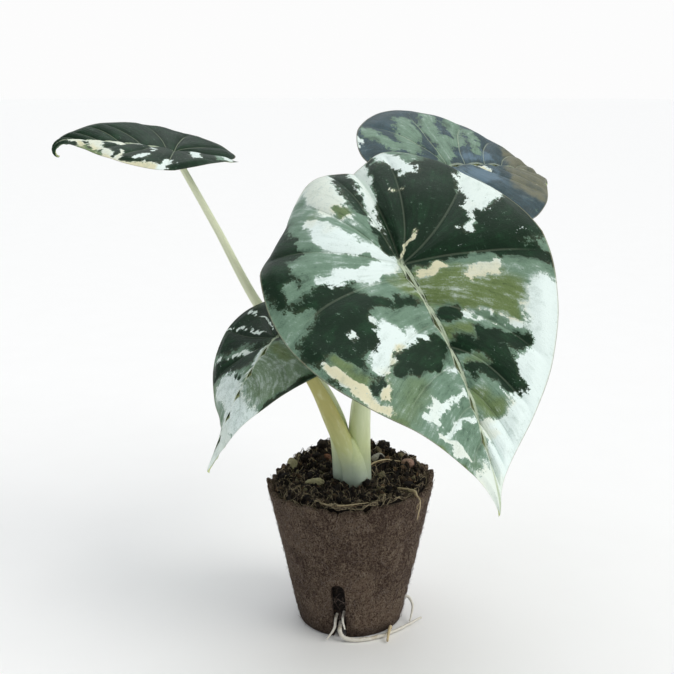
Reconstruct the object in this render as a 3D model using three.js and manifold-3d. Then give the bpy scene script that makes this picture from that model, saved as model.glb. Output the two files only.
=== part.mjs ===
/**
 * A young variegated alocasia in a small fibre pot.
 *
 * Units are millimetres, +Z is up, and the origin is the centre of the pot's base.
 * The leaves face -Y. Every piece is one closed solid, a clearance away from its neighbours.
 */
import * as THREE from "three";
import { mergeVertices } from "three/addons/utils/BufferGeometryUtils.js";
import Module from "manifold-3d";

const wasm = await Module();
wasm.setup();

// ---------------------------------------------------------------- driving dimensions

const CLEARANCE = 0.3; // between pieces that meet

const POT = {
  topRadius: 30,
  baseRadius: 19,
  height: 53,
  wall: 2,
  floor: 2.4,
  edge: 0.8, // rounding of the base and the rim
  rimWave: 1.5, // how far the crumbled rim rises on the +X side
};

const SLOT = {
  width: 5,
  height: 22.5,
  count: 4,
  turn: -12, // degrees from -Y to the first slot
};

const SOIL = {
  sunk: 1.2, // rim down to the soil at the wall
  mound: 0.8, // back up to the middle
  heap: 9, // how much the soil is heaped at the back
  lump: 0.9,
};

const CORM = { radius: 7.5, height: 18, top: 7 }; // top: below the rim, just above the feet of the petioles

const ROOT = { radius: 0.75, inner: 1.1, thread: 0.45 };

// aside from the pot's axis, and in front of it
const FRAGMENT = { radius: 0.6, aside: 13.9, forward: 17.6, heading: 259 };

const BLADE = { thickness: 1, puff: 1.2 };

// Each leaf: sizes in mm, angles in degrees. The hub is where the petiole meets the blade, given from
// the middle of the pot's rim. The blade's spine runs from the hub along the heading, pitched down;
// back and droop bend it behind and ahead of the hub, curl bends its tip, and twist rolls it along its
// length. Fold and cup raise or lower each half across the spine, and lobeCup cups the lobes more.
// Bow carries the midrib sideways half way along, and sinus is how far the lobes are joined behind the
// hub, both as shares of the length.
const LEAVES = {
  front: {
    length: 95, width: 0.94, lobe: 1.45, sinus: 0.39, bow: 0.08, hub: [16, -17.5, 82],
    heading: -71, pitch: 47, roll: 10, back: 63, droop: -25, twist: -21, curl: 8,
    fold: [-15.5, -26], cup: [11.5, 44], lobeCup: 140,
    stalk: [[3.2, 0.5, -9], [3.4, 1.5, 22], [7, 3, 52], [12.5, -6, 72]], stalkRadii: [4.7, 3.9, 2.6, 1.8, 1.5],
  },
  low: {
    length: 55, width: 0.95, lobe: 1.08, sinus: 0.28, bow: 0, hub: [-25.3, -13, 56.4],
    heading: -119, pitch: 26, roll: 8.5,
    back: 41, droop: 43, twist: 50, curl: -55, fold: [10.5, 12], cup: [15, -5.5], lobeCup: 10,
    stalk: [[1.4, -1.3, -9], [0.2, -1.6, 6], [-6.2, -3, 23], [-14, -6, 40]], stalkRadii: [3.9, 3.8, 3.1, 2, 1.4],
  },
  high: {
    length: 43, width: 1, lobe: 1.13, sinus: 0.28, bow: 0, hub: [-60.6, 4.3, 117],
    heading: 190.5, pitch: -10.5, roll: -8,
    back: 4, droop: 13, twist: -12, curl: 142, fold: [-15.5, -12], cup: [36.5, 11], lobeCup: -28,
    stalk: [[-2, 3.5, -9], [-5, 6, 19], [-16, 12, 39], [-34, 19, 61], [-48, 14, 90]],
    stalkRadii: [4, 3.6, 2.4, 1.7, 1.3, 1.1],
  },
  back: {
    length: 59, width: 1.2, lobe: 1.26, sinus: 0.28, bow: 0, hub: [37.8, 52, 108],
    heading: 37, pitch: -0.5, roll: 29.5,
    back: 20.5, droop: 24, twist: -5, curl: 19, fold: [-11, -10.5], cup: [15.5, 23], lobeCup: 0.5,
    stalk: [[2, 5, -9], [3.5, 9, 25], [12, 24, 59], [26, 41, 89]], stalkRadii: [3.8, 3.4, 2.4, 1.6, 1.3],
  },
};

// Heart outline of one half blade from the sinus to the tip, as shares of the hub-to-tip length: ahead of
// the hub, and aside. The lobes are drawn out by each leaf's lobe share, and the sides by its width.
const OUTLINE = [
  [-0.4, 0.07], [-0.44, 0.2], [-0.34, 0.38], [-0.14, 0.505], [0.08, 0.545],
  [0.29, 0.51], [0.49, 0.415], [0.66, 0.28], [0.8, 0.14], [0.9, 0.055], [1, 0],
];

// Main veins of one half: where each leaves the midrib, and where it ends on the outline.
const VEINS = [[0, 0], [0, 1.5], [0, 3], [0, 4.6], [0.11, 6.5], [0.3, 7.8], [0.46, 8.5], [0.61, 9.3],
  [0.75, 10], [1, 11]];
const VEIN_SWEEP = { ahead: 0.22, aside: 0.58 }; // how a vein bends on its way to the margin
const CURL_START = 0.78; // share of the length where the tip begins to curl
const HALF_WIDTH = 0.54; // of the outline, as a share of the length
const MARGIN = 0.14; // share of a vein over which the blade thins to its edge

// Loose pieces half sunk in the soil: place as [azimuth in degrees from +X, share of the soil's radius].
const STONES = {
  stone_grey: { at: [55, 0.65], size: [2.6, 2.3, 2.2], color: "#8d8878" },
  stone_sand: { at: [155, 0.86], size: [2, 2.2, 2.4], color: "#a39a72" },
  lump_clay: { at: [24, 0.84], size: [2.3, 2, 1.8], color: "#9c7c6c" },
  chip_pale: { at: [191, 0.48], size: [3.2, 1.5, 1.5], color: "#b3a882" },
  bark_front: { at: [117, 0.69], size: [2.6, 1.6, 1.3], color: "#5d3d29" },
  bark_back: { at: [128, 0.84], size: [3.1, 1.8, 1.6], color: "#4a3022" },
};

const COLORS = {
  pot: "#5d4436", soil: "#2c211a", corm: "#8a7a52", root: "#d9cfb4", thread: "#7d644c",
  stalk: "#c3cf8e", blade: { front: "#7d9a76", low: "#6f8a68", high: "#46614a", back: "#33483f" },
};

// ---------------------------------------------------------------- solids

const radians = THREE.MathUtils.degToRad;
const lerp = THREE.MathUtils.lerp;

/** The closed solid inside a geometry's faces, whichever way they were wound. */
function solidOf(geometry) {
  const bare = new THREE.BufferGeometry();
  bare.setAttribute("position", geometry.getAttribute("position"));
  bare.setIndex(geometry.getIndex());
  const merged = mergeVertices(bare, 1e-4);
  const corners = merged.getAttribute("position");
  const triangles = [];
  let volume = 0;
  for (let i = 0; i < merged.index.count; i += 3) {
    const [a, b, c] = [0, 1, 2].map((k) => merged.index.getX(i + k));
    if (a === b || b === c || c === a) continue;
    triangles.push([a, b, c]);
    const [p, q, r] = [a, b, c].map((k) => new THREE.Vector3().fromBufferAttribute(corners, k));
    volume += p.dot(q.cross(r));
  }
  if (volume < 0) triangles.forEach((triangle) => triangle.reverse());
  return new wasm.Manifold(new wasm.Mesh({
    numProp: 3,
    vertProperties: Float32Array.from(corners.array),
    triVerts: Uint32Array.from(triangles.flat()),
  }));
}

/** The largest body that is left of a solid once the tools are cut from it. */
function trimmed(solid, ...tools) {
  const rest = tools.reduce((left, tool) => left.subtract(tool), solid);
  return rest.decompose().sort((a, b) => b.volume() - a.volume())[0];
}

/** A round body along a curve, from a lathe whose rings are carried along it. */
function strand(points, radii, { sides = 10, steps = 16, grow = 0 } = {}) {
  const curve = new THREE.CatmullRomCurve3(points, false, "centripetal");
  const frames = curve.computeFrenetFrames(steps);
  const radiusAt = (share) => {
    const place = share * (radii.length - 1);
    const k = Math.min(Math.floor(place), radii.length - 2);
    return lerp(radii[k], radii[k + 1], place - k) + grow;
  };
  const profile = [new THREE.Vector2(0, 0)];
  for (let i = 0; i <= steps; i++) profile.push(new THREE.Vector2(radiusAt(i / steps), i));
  profile.push(new THREE.Vector2(0, steps));
  const geometry = new THREE.LatheGeometry(profile, sides);
  const corners = geometry.getAttribute("position");
  for (let i = 0; i < corners.count; i++) {
    const step = Math.round(corners.getY(i));
    const place = curve.getPointAt(step / steps)
      .addScaledVector(frames.normals[step], corners.getX(i))
      .addScaledVector(frames.binormals[step], corners.getZ(i));
    corners.setXYZ(i, place.x, place.y, place.z);
  }
  return solidOf(geometry);
}

/** A smooth pebble or chip with soft lumps. */
function lump(place, size, grow = 0) {
  const geometry = new THREE.IcosahedronGeometry(1, 2);
  const corners = geometry.getAttribute("position");
  const turn = place.x + place.y;
  for (let i = 0; i < corners.count; i++) {
    const way = new THREE.Vector3().fromBufferAttribute(corners, i);
    const bump = 1 + 0.09 * Math.sin(3.1 * way.x + turn) + 0.08 * Math.cos(2.7 * way.y - 2 * way.z);
    way.multiply(new THREE.Vector3(...size.map((half) => half * bump + grow)));
    way.applyAxisAngle(new THREE.Vector3(0, 0, 1), turn).add(place);
    corners.setXYZ(i, way.x, way.y, way.z);
  }
  return solidOf(geometry);
}

/** A point given by its azimuth from +X in degrees, radius and height. */
function around(azimuth, radius, height) {
  const angle = radians(azimuth);
  return new THREE.Vector3(radius * Math.cos(angle), radius * Math.sin(angle), height);
}

// ---------------------------------------------------------------- pot

const outerRadius = (z) => lerp(POT.baseRadius, POT.topRadius, z / POT.height);
const innerRadius = (z) => outerRadius(z) - POT.wall;
const rimLift = (azimuth) => POT.rimWave * (Math.cos(azimuth) + 0.25 * Math.sin(5 * azimuth));
const slotAzimuth = (k) => -90 + SLOT.turn + (360 * k) / SLOT.count;

function potShell() {
  const { topRadius, baseRadius, height, wall, floor, edge } = POT;
  const profile = [[0, 0], [baseRadius - edge, 0], [baseRadius, edge]];
  for (const share of [0.25, 0.5, 0.75, 0.92]) profile.push([outerRadius(height * share), height * share]);
  profile.push([topRadius, height - edge], [topRadius - wall / 4, height], [topRadius - (3 * wall) / 4, height],
    [topRadius - wall, height - edge]);
  for (const share of [0.92, 0.5, 0.25]) profile.push([innerRadius(height * share), height * share]);
  profile.push([innerRadius(floor + edge), floor + edge], [innerRadius(floor) - edge, floor], [0, floor]);
  const geometry = new THREE.LatheGeometry(profile.map(([r, z]) => new THREE.Vector2(r, z)), 44);
  geometry.rotateX(Math.PI / 2);
  const corners = geometry.getAttribute("position");
  for (let i = 0; i < corners.count; i++) {
    const [x, y, z] = [corners.getX(i), corners.getY(i), corners.getZ(i)];
    corners.setZ(i, z + rimLift(Math.atan2(y, x)) * THREE.MathUtils.smoothstep(z, height / 2, height));
  }
  return solidOf(geometry);
}

/** The round-topped opening of a drainage slot, from well inside the wall to outside it. */
function slotCutter() {
  const half = SLOT.width / 2;
  const outline = new THREE.Shape()
    .moveTo(-half, -1)
    .lineTo(half, -1)
    .lineTo(half, SLOT.height - half)
    .absarc(0, SLOT.height - half, half, 0, Math.PI)
    .lineTo(-half, -1);
  const reach = [innerRadius(0) - POT.wall, outerRadius(SLOT.height) + POT.wall];
  const geometry = new THREE.ExtrudeGeometry(outline, {
    depth: reach[1] - reach[0], bevelEnabled: false, curveSegments: 8,
  });
  geometry.rotateX(Math.PI / 2).translate(0, -reach[0], 0); // now it runs along -Y
  return geometry;
}

function pot() {
  let shell = potShell();
  for (let k = 0; k < SLOT.count; k++) {
    shell = shell.subtract(solidOf(slotCutter().rotateZ(radians(slotAzimuth(k) + 90))));
  }
  return shell;
}

// ---------------------------------------------------------------- soil

function soilTop(x, y) {
  const share = Math.hypot(x, y) / innerRadius(POT.height);
  const azimuth = Math.atan2(y, x);
  const lumps = Math.sin(0.55 * x + 1) * Math.cos(0.6 * y) + 0.6 * Math.sin(0.95 * x - 0.8 * y);
  const heap = SOIL.heap * Math.max(0, Math.sin(azimuth)) * share ** 2 * (1 - share ** 6);
  return POT.height - SOIL.sunk + SOIL.mound * (1 - share ** 2) + heap + SOIL.lump * lumps
    + rimLift(azimuth) * share ** 2;
}

function soilPlug() {
  const rings = 6;
  const profile = [[0, 0], [0.98, 0], [1, 0.03], [1, 0.35], [1, 0.7], [1, 0.97]];
  for (let k = 0; k <= rings; k++) profile.push([(0.97 * (rings - k)) / rings, 1]);
  const geometry = new THREE.LatheGeometry(profile.map(([share, rise]) => new THREE.Vector2(share, rise)), 36);
  geometry.rotateX(Math.PI / 2);
  const corners = geometry.getAttribute("position");
  const bottom = POT.floor + CLEARANCE;
  const inside = innerRadius(bottom) - POT.edge;
  for (let i = 0; i < corners.count; i++) {
    const [x, y, rise] = [corners.getX(i), corners.getY(i), corners.getZ(i)];
    const widest = innerRadius(POT.height) - CLEARANCE;
    const top = soilTop(x * widest, y * widest);
    const z = lerp(bottom, top, rise);
    const radius = rise < 0.03 ? inside : innerRadius(Math.min(z, POT.height - POT.edge));
    corners.setXYZ(i, x * (radius - 2 * CLEARANCE), y * (radius - 2 * CLEARANCE), z);
  }
  return solidOf(geometry);
}

// ---------------------------------------------------------------- corm, roots and stones

const crown = new THREE.Vector3(0, 0, POT.height);

function corm(grow = 0) {
  const { radius, height, top } = CORM;
  const profile = [new THREE.Vector2(0, -height - grow)];
  for (let k = 1; k < 10; k++) {
    const angle = Math.PI * (k / 10);
    const belly = radius * Math.sin(angle) * (1 + 0.15 * Math.cos(angle));
    profile.push(new THREE.Vector2(belly + grow, -height / 2 - (height / 2 + grow) * Math.cos(angle)));
  }
  profile.push(new THREE.Vector2(0, grow));
  const geometry = new THREE.LatheGeometry(profile, 18);
  geometry.rotateX(Math.PI / 2).translate(0, 0, POT.height - top);
  return solidOf(geometry);
}

const cormMiddle = POT.height - CORM.top - CORM.height / 2;

function innerRoot(k, grow = 0) {
  const azimuth = slotAzimuth(k) + 45;
  const low = POT.floor + CLEARANCE + 2 * ROOT.inner;
  const points = [
    around(azimuth, CORM.radius * 0.7, cormMiddle - 1),
    around(azimuth + 14, CORM.radius * 1.25, lerp(low, cormMiddle, 0.75)),
    around(azimuth - 8, innerRadius(low) * 0.7, lerp(low, cormMiddle, 0.35)),
    around(azimuth + 22, innerRadius(low) * 0.6, low),
  ];
  return strand(points, [ROOT.inner, ROOT.inner, 0.8 * ROOT.inner, 0.6 * ROOT.inner], { sides: 6, steps: 8, grow });
}

/** A root that leaves the soil through a slot: points as [across the slot, out from the base edge, height]. */
function slotRoot(k, offsets, radius, grow = 0, steps = 10) {
  const azimuth = slotAzimuth(k);
  const out = around(azimuth, 1, 0);
  const across = around(azimuth + 90, 1, 0);
  const points = offsets.map(([aside, outward, height]) => new THREE.Vector3(0, 0, height)
    .addScaledVector(out, POT.baseRadius + outward)
    .addScaledVector(across, aside));
  return strand(points, [radius, radius, 0.75 * radius], { sides: 6, steps, grow });
}

const onTable = ROOT.radius + 0.25; // centre height of a root that lies on the surface
const lane = SLOT.width * 0.26; // how far the short roots keep from the slot's middle

const ROOTS = {
  root_slot_long: (grow) => slotRoot(0, [[0, -5, 6], [0, -1, 5.2], [0.4, 1.8, 3.4], [2, 3, 1.7],
    [5.6, 2.3, onTable], [11.2, 0.1, onTable], [17.1, -4.8, onTable], [22.1, -11.4, onTable],
    [27.2, -18.4, onTable + 0.3]], ROOT.radius, grow, 24),
  root_slot_short_a: (grow) => slotRoot(0, [[-lane, -5, 9.5], [-lane, -1, 8.5], [-lane - 0.4, 2.2, 4.5],
    [-lane - 2.6, 4.4, onTable]], 0.8 * ROOT.radius, grow),
  root_slot_short_b: (grow) => slotRoot(0, [[lane, -5, 11], [lane, -1, 10], [lane + 0.2, 2.4, 8],
    [lane + 1.4, 4.2, 5.5]], 0.7 * ROOT.radius, grow),
  root_side: (grow) => slotRoot(1, [[0, -5, 8.5], [0, -1, 8.5], [0.6, 3, 8], [-1, 4.6, 4.5],
    [-4.5, 4, onTable]], 0.8 * ROOT.radius, grow),
};

/** A dead root fragment that lies across the long root on the surface. */
function fragment() {
  const radius = FRAGMENT.radius;
  const low = radius + 0.05;
  const high = onTable + ROOT.radius + radius + 2 * CLEARANCE;
  const middle = new THREE.Vector3(FRAGMENT.aside, -FRAGMENT.forward, 0);
  const along = around(FRAGMENT.heading, 1, 0);
  const points = [[-4, low], [-1.9, high - 0.2], [0, high], [2, high - 0.2], [5.5, low]].map(([share, height]) => (
    middle.clone().addScaledVector(along, share).setZ(height)));
  return strand(points, [0.7 * radius, radius, 0.7 * radius], { sides: 6, steps: 10 });
}

/** A thin thread that lies just over the soil and droops across the rim: [azimuth, share of radius, lift]. */
function thread(route, grow = 0) {
  const points = route.map(([azimuth, share, lift]) => {
    const flat = around(azimuth, share * POT.topRadius, 0);
    const overRim = Math.hypot(flat.x, flat.y) > innerRadius(POT.height) - 1;
    const base = overRim ? POT.height + rimLift(radians(azimuth)) : soilTop(flat.x, flat.y);
    return flat.setZ(base + ROOT.thread + lift);
  });
  return strand(points, [ROOT.thread, ROOT.thread], { sides: 6, steps: 9, grow });
}

const THREADS = {
  root_thread_right: [[-28, 0.62, 0.6], [-36, 0.82, 1.8], [-41, 0.99, 1], [-45, 1.1, -2.4], [-47, 1.1, -7]],
  root_thread_front: [[-122, 0.8, 1.4], [-108, 0.86, 1.7], [-92, 0.86, 1.9], [-76, 0.82, 1.5]],
  root_thread_back: [[58, 0.3, 1], [40, 0.5, 1.4], [30, 0.72, 1.2]],
};

function stonePlace({ at: [azimuth, share], size }) {
  const flat = around(azimuth, share * (innerRadius(POT.height) - CLEARANCE), 0);
  return flat.setZ(soilTop(flat.x, flat.y) + 0.35 * size[2]);
}

// ---------------------------------------------------------------- leaves

/** Places on one leaf: from a vein number 0..9 and a share 0..1 from the midrib to the margin. */
function leafSurface(leaf) {
  const hub = crown.clone().add(new THREE.Vector3(...leaf.hub));
  const heading = radians(leaf.heading);
  const ahead = new THREE.Vector3(Math.cos(heading), Math.sin(heading), 0);
  const aside = new THREE.Vector3(-Math.sin(heading), Math.cos(heading), 0);
  const up = new THREE.Vector3(0, 0, 1);
  const steepness = (share) => radians(leaf.pitch + leaf.back * Math.min(share, 0)
    + leaf.droop * Math.max(share, 0) ** 1.5
    + leaf.curl * THREE.MathUtils.clamp((share - CURL_START) / (1 - CURL_START), 0, 1) ** 2);
  const outline = new THREE.SplineCurve([[-leaf.sinus, 0], ...OUTLINE]
    .map(([forward, sideways]) => new THREE.Vector2(forward, sideways)));
  const bowAt = (along) => leaf.bow * leaf.length
    * Math.sin(Math.PI * THREE.MathUtils.clamp(along / leaf.length, 0, 1));

  /** The spine's point at a distance from the hub, walked in short straight steps. */
  function spine(distance) {
    const steps = 40;
    const step = distance / steps;
    const place = hub.clone();
    for (let k = 0; k < steps; k++) {
      const angle = steepness(((k + 0.5) * step) / leaf.length);
      place.addScaledVector(ahead, step * Math.cos(angle)).addScaledVector(up, -step * Math.sin(angle));
    }
    return place;
  }

  return (vein, share, side) => {
    const k = Math.min(Math.floor(vein), VEINS.length - 2);
    const start = lerp(VEINS[k][0], VEINS[k + 1][0], vein - k) * leaf.length;
    const end = outline.getPoint(lerp(VEINS[k][1], VEINS[k + 1][1], vein - k) / OUTLINE.length);
    const endAhead = end.x * leaf.length * (end.x < 0 ? leaf.lobe : 1);
    const endAside = end.y * leaf.length * leaf.width - side * bowAt(endAhead);
    const bendWeight = 2 * share * (1 - share);
    const along = (1 - share) ** 2 * start + bendWeight * lerp(start, endAhead, VEIN_SWEEP.ahead)
      + share ** 2 * endAhead;
    const across = (bendWeight * VEIN_SWEEP.aside + share ** 2) * endAside;

    const place = along / leaf.length;
    const angle = steepness(place);
    const roll = radians(leaf.roll + leaf.twist * place);
    const lift = ahead.clone().multiplyScalar(Math.sin(angle)).addScaledVector(up, Math.cos(angle));
    const right = aside.clone().multiplyScalar(Math.cos(roll)).addScaledVector(lift, Math.sin(roll));
    const normal = lift.multiplyScalar(Math.cos(roll)).addScaledVector(aside, -Math.sin(roll));

    const half = side > 0 ? 0 : 1;
    const fold = radians(leaf.fold[half]);
    const cup = radians(leaf.cup[half] + leaf.lobeCup * Math.max(-place, 0))
      / (HALF_WIDTH * leaf.length * leaf.width);
    const turn = fold + cup * across;
    const point = spine(along)
      .addScaledVector(right, bowAt(along) + (side * (Math.sin(turn) - Math.sin(fold))) / cup)
      .addScaledVector(normal, (Math.cos(turn) - Math.cos(fold)) / cup);
    const onSpine = across < 1e-6;
    const facing = onSpine ? normal.clone()
      : normal.clone().multiplyScalar(Math.cos(turn)).addScaledVector(right, side * Math.sin(turn));
    return { point, facing };
  };
}

/** Bends a flat sheet of cells into place; turned over, its faces look the other way. */
function sheet(columns, rows, placeAt, turned) {
  const geometry = new THREE.PlaneGeometry(1, 1, columns, rows);
  const corners = geometry.getAttribute("position");
  for (let i = 0; i < corners.count; i++) {
    const place = placeAt(corners.getX(i) + 0.5, corners.getY(i) + 0.5);
    corners.setXYZ(i, place.x, place.y, place.z);
  }
  const order = Array.from(geometry.getIndex().array);
  return { corners: Array.from(corners.array), order: turned ? order.reverse() : order };
}

/** A blade: two halves, each with an upper and a lower sheet that meet at the margin. */
function blade(leaf, grow = 0) {
  const surface = leafSurface(leaf);
  const corners = [];
  const order = [];
  for (const side of [1, -1]) {
    for (const face of [1, -1]) {
      const placeAt = (x, share) => {
        const vein = x * (VEINS.length - 1);
        const { point, facing } = surface(vein, share, side);
        const inner = Math.min(1, (1 - share) / MARGIN);
        const swell = Math.sin(Math.PI * vein) ** 2 * Math.sin(Math.PI * share);
        const puff = vein > 1 ? BLADE.puff * swell : 0; // flat beside the sinus
        const depth = (BLADE.thickness / 2 + grow) * inner;
        return point.addScaledVector(facing, face * depth + puff);
      };
      const part = sheet(2 * (VEINS.length - 1), 5, placeAt, side * face > 0);
      const first = corners.length / 3;
      corners.push(...part.corners);
      order.push(...part.order.map((k) => k + first));
    }
  }
  const geometry = new THREE.BufferGeometry();
  geometry.setAttribute("position", new THREE.Float32BufferAttribute(corners, 3));
  geometry.setIndex(order);
  return solidOf(geometry);
}

function petiole(leaf, grow = 0) {
  const points = [...leaf.stalk, leaf.hub].map((place) => crown.clone().add(new THREE.Vector3(...place)));
  return strand(points, leaf.stalkRadii, { sides: 10, steps: 14, grow });
}

// ---------------------------------------------------------------- the object

const group = new THREE.Group();

function add(name, solid, color, roughness) {
  const { vertProperties, triVerts } = solid.getMesh();
  const geometry = new THREE.BufferGeometry();
  geometry.setAttribute("position", new THREE.BufferAttribute(vertProperties, 3));
  geometry.setIndex(new THREE.BufferAttribute(triVerts, 1));
  geometry.computeVertexNormals();
  const mesh = new THREE.Mesh(geometry, new THREE.MeshStandardMaterial({ color, roughness, metalness: 0 }));
  mesh.name = name;
  group.add(mesh);
}

const leafNames = Object.keys(LEAVES);
const bladeSpace = Object.fromEntries(leafNames.map((name) => [name, blade(LEAVES[name], CLEARANCE)]));

// Each petiole gives way to the blades, the corm and the petioles before it.
const petioleSpace = [];
leafNames.forEach((name) => {
  const solid = trimmed(petiole(LEAVES[name]), corm(CLEARANCE), ...Object.values(bladeSpace), ...petioleSpace);
  petioleSpace.push(petiole(LEAVES[name], CLEARANCE));
  add(`petiole_${name}`, solid, COLORS.stalk, 0.45);
});

// Each blade gives way to the blades before it.
leafNames.forEach((name, k) => {
  const earlier = leafNames.slice(0, k).map((other) => bladeSpace[other]);
  add(`blade_${name}`, trimmed(blade(LEAVES[name]), ...earlier), COLORS.blade[name], 0.4);
});

const soilTools = [corm(CLEARANCE), ...petioleSpace];

const rootSpace = [];
for (let k = 0; k < SLOT.count; k++) {
  add(`root_inner_${k + 1}`, trimmed(innerRoot(k), corm(CLEARANCE)), COLORS.root, 0.6);
  rootSpace.push(innerRoot(k, CLEARANCE));
}
Object.entries(ROOTS).forEach(([name, root]) => {
  add(name, trimmed(root(0), ...rootSpace), COLORS.root, 0.6);
  rootSpace.push(root(CLEARANCE));
});
add("root_fragment", fragment(), COLORS.root, 0.6);

Object.entries(STONES).forEach(([name, stone]) => {
  const place = stonePlace(stone);
  add(name, trimmed(lump(place, stone.size), ...soilTools), stone.color, 0.85);
  soilTools.push(lump(place, stone.size, CLEARANCE));
});

Object.entries(THREADS).forEach(([name, route]) => {
  add(name, trimmed(thread(route), ...soilTools), COLORS.thread, 0.9);
  soilTools.push(thread(route, CLEARANCE));
});

add("corm", corm(), COLORS.corm, 0.7);
add("soil", trimmed(soilPlug(), ...rootSpace, ...soilTools), COLORS.soil, 1);
add("pot", pot(), COLORS.pot, 0.95);

export default group;
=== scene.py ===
"""
A young variegated alocasia in a small fibre pot, built around its packed frame.

Tables and shapes below are in millimetres. Every mesh is brought to metres when it becomes a piece.
"""

import math
import random

import bmesh
import bpy
import numpy as np
from bpy.props import FloatProperty, FloatVectorProperty, IntProperty, PointerProperty
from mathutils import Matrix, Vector, noise


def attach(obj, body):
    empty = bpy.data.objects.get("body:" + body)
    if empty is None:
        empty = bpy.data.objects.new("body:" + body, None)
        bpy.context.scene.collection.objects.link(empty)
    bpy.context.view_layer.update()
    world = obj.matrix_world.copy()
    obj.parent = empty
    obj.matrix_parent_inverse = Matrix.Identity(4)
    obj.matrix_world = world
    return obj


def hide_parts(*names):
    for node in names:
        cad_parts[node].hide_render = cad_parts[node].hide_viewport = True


bl_info = {
    "name": "Potted Alocasia",
    "version": (1, 0, 0),
    "blender": (4, 5, 0),
    "location": "3D View > Sidebar > Alocasia",
    "description": "Leaves, stalks, fibre pot and soil of a young variegated alocasia",
    "category": "Add Mesh",
}

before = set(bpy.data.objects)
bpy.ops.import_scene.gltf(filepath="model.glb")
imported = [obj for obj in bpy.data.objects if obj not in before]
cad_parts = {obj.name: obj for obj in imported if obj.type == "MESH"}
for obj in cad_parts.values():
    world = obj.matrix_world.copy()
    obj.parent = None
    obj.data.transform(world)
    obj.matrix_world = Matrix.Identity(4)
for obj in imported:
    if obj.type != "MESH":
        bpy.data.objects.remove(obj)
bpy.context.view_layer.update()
MM = 0.001


def linear(code):
    """The linear colour of a six-digit sRGB code."""
    shares = [int(code[k : k + 2], 16) / 255 for k in (0, 2, 4)]
    return tuple(s / 12.92 if s <= 0.04045 else ((s + 0.055) / 1.055) ** 2.4 for s in shares)


# ---------------------------------------------------------------- sizes of the plant

RIM_HEIGHT = 53
CROWN = np.array([0.0, 0.0, RIM_HEIGHT])
POT = {"top": 30, "base": 19, "height": RIM_HEIGHT, "wall": 2, "floor": 2.4, "edge": 0.8, "wave": 1.5}
SLOT = {"width": 5, "height": 22.5, "count": 4, "turn": -12}
SOIL = {"sunk": 1.2, "mound": 0.8, "heap": 9, "lump": 0.9}

LEAVES = {
    "front": {
        "length": 95, "width": 0.94, "lobe": 1.45, "sinus": 0.39, "bow": 0.08, "hub": (16, -17.5, 82),
        "heading": -71, "pitch": 47, "roll": 10, "back": 63, "droop": -25, "twist": -21, "curl": 8,
        "fold": (-15.5, -26), "cup": (11.5, 44), "lobe_cup": 140,
        "stalk": [(3.2, 0.5, -9), (3.4, 1.5, 22), (7, 3, 52), (12.5, -6, 72)],
        "radii": (4.7, 3.9, 2.6, 1.8, 1.5),
        "grid": (150, 84), "midrib": 1.35,
    },
    "low": {
        "length": 55, "width": 0.95, "lobe": 1.08, "sinus": 0.28, "bow": 0, "hub": (-25.3, -13, 56.4),
        "heading": -119, "pitch": 26, "roll": 8.5, "back": 41, "droop": 43, "twist": 50, "curl": -55,
        "fold": (10.5, 12), "cup": (15, -5.5), "lobe_cup": 10,
        "stalk": [(1.4, -1.3, -9), (0.2, -1.6, 6), (-6.2, -3, 23), (-14, -6, 40)],
        "radii": (3.9, 3.8, 3.1, 2, 1.4),
        "grid": (120, 60), "midrib": 0.8,
    },
    "high": {
        "length": 43, "width": 1, "lobe": 1.13, "sinus": 0.28, "bow": 0, "hub": (-60.6, 4.3, 117),
        "heading": 190.5, "pitch": -10.5, "roll": -8, "back": 4, "droop": 13, "twist": -12, "curl": 142,
        "fold": (-15.5, -12), "cup": (36.5, 11), "lobe_cup": -28,
        "stalk": [(-2, 3.5, -9), (-5, 6, 19), (-16, 12, 39), (-34, 19, 61), (-48, 14, 90)],
        "radii": (4, 3.6, 2.4, 1.7, 1.3, 1.1),
        "grid": (120, 56), "midrib": 0.6,
    },
    "back": {
        "length": 59, "width": 1.2, "lobe": 1.26, "sinus": 0.28, "bow": 0, "hub": (37.8, 52, 108),
        "heading": 37, "pitch": -0.5, "roll": 29.5, "back": 20.5, "droop": 24, "twist": -5, "curl": 19,
        "fold": (-11, -10.5), "cup": (15.5, 23), "lobe_cup": 0.5,
        "stalk": [(2, 5, -9), (3.5, 9, 25), (12, 24, 59), (26, 41, 89)],
        "radii": (3.8, 3.4, 2.4, 1.6, 1.3),
        "grid": (130, 66), "midrib": 0.85,
    },
}

# Heart outline of a half blade from the sinus to the tip, as shares of the length.
OUTLINE = [
    (-0.4, 0.07), (-0.44, 0.2), (-0.34, 0.38), (-0.14, 0.505), (0.08, 0.545), (0.29, 0.51),
    (0.49, 0.415), (0.66, 0.28), (0.8, 0.14), (0.9, 0.055), (1, 0),
]

# Main veins of the right (+1) and left (-1) halves: where each leaves the midrib, and where it ends.
VEINS = {
    1: [
        (0, 0), (0, 1.7), (0, 3.3), (0, 5), (0.16, 7), (0.34, 8), (0.5, 8.8), (0.64, 9.5),
        (0.78, 10.2), (1, 11),
    ],
    -1: [
        (0, 0), (0, 1.3), (0, 2.6), (0, 4.1), (0.06, 5.9), (0.25, 7.6), (0.42, 8.2), (0.58, 9),
        (0.72, 9.8), (1, 11),
    ],
}
HUB_VEINS = 3  # veins up to this one start at the hub
VEIN_AHEAD = 0.22
VEIN_ASIDE = 0.58
CURL_START = 0.78
HALF_WIDTH = 0.54
LEAF_LAYERS = ("ahead", "aside", "rib", "vein", "share")

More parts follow.
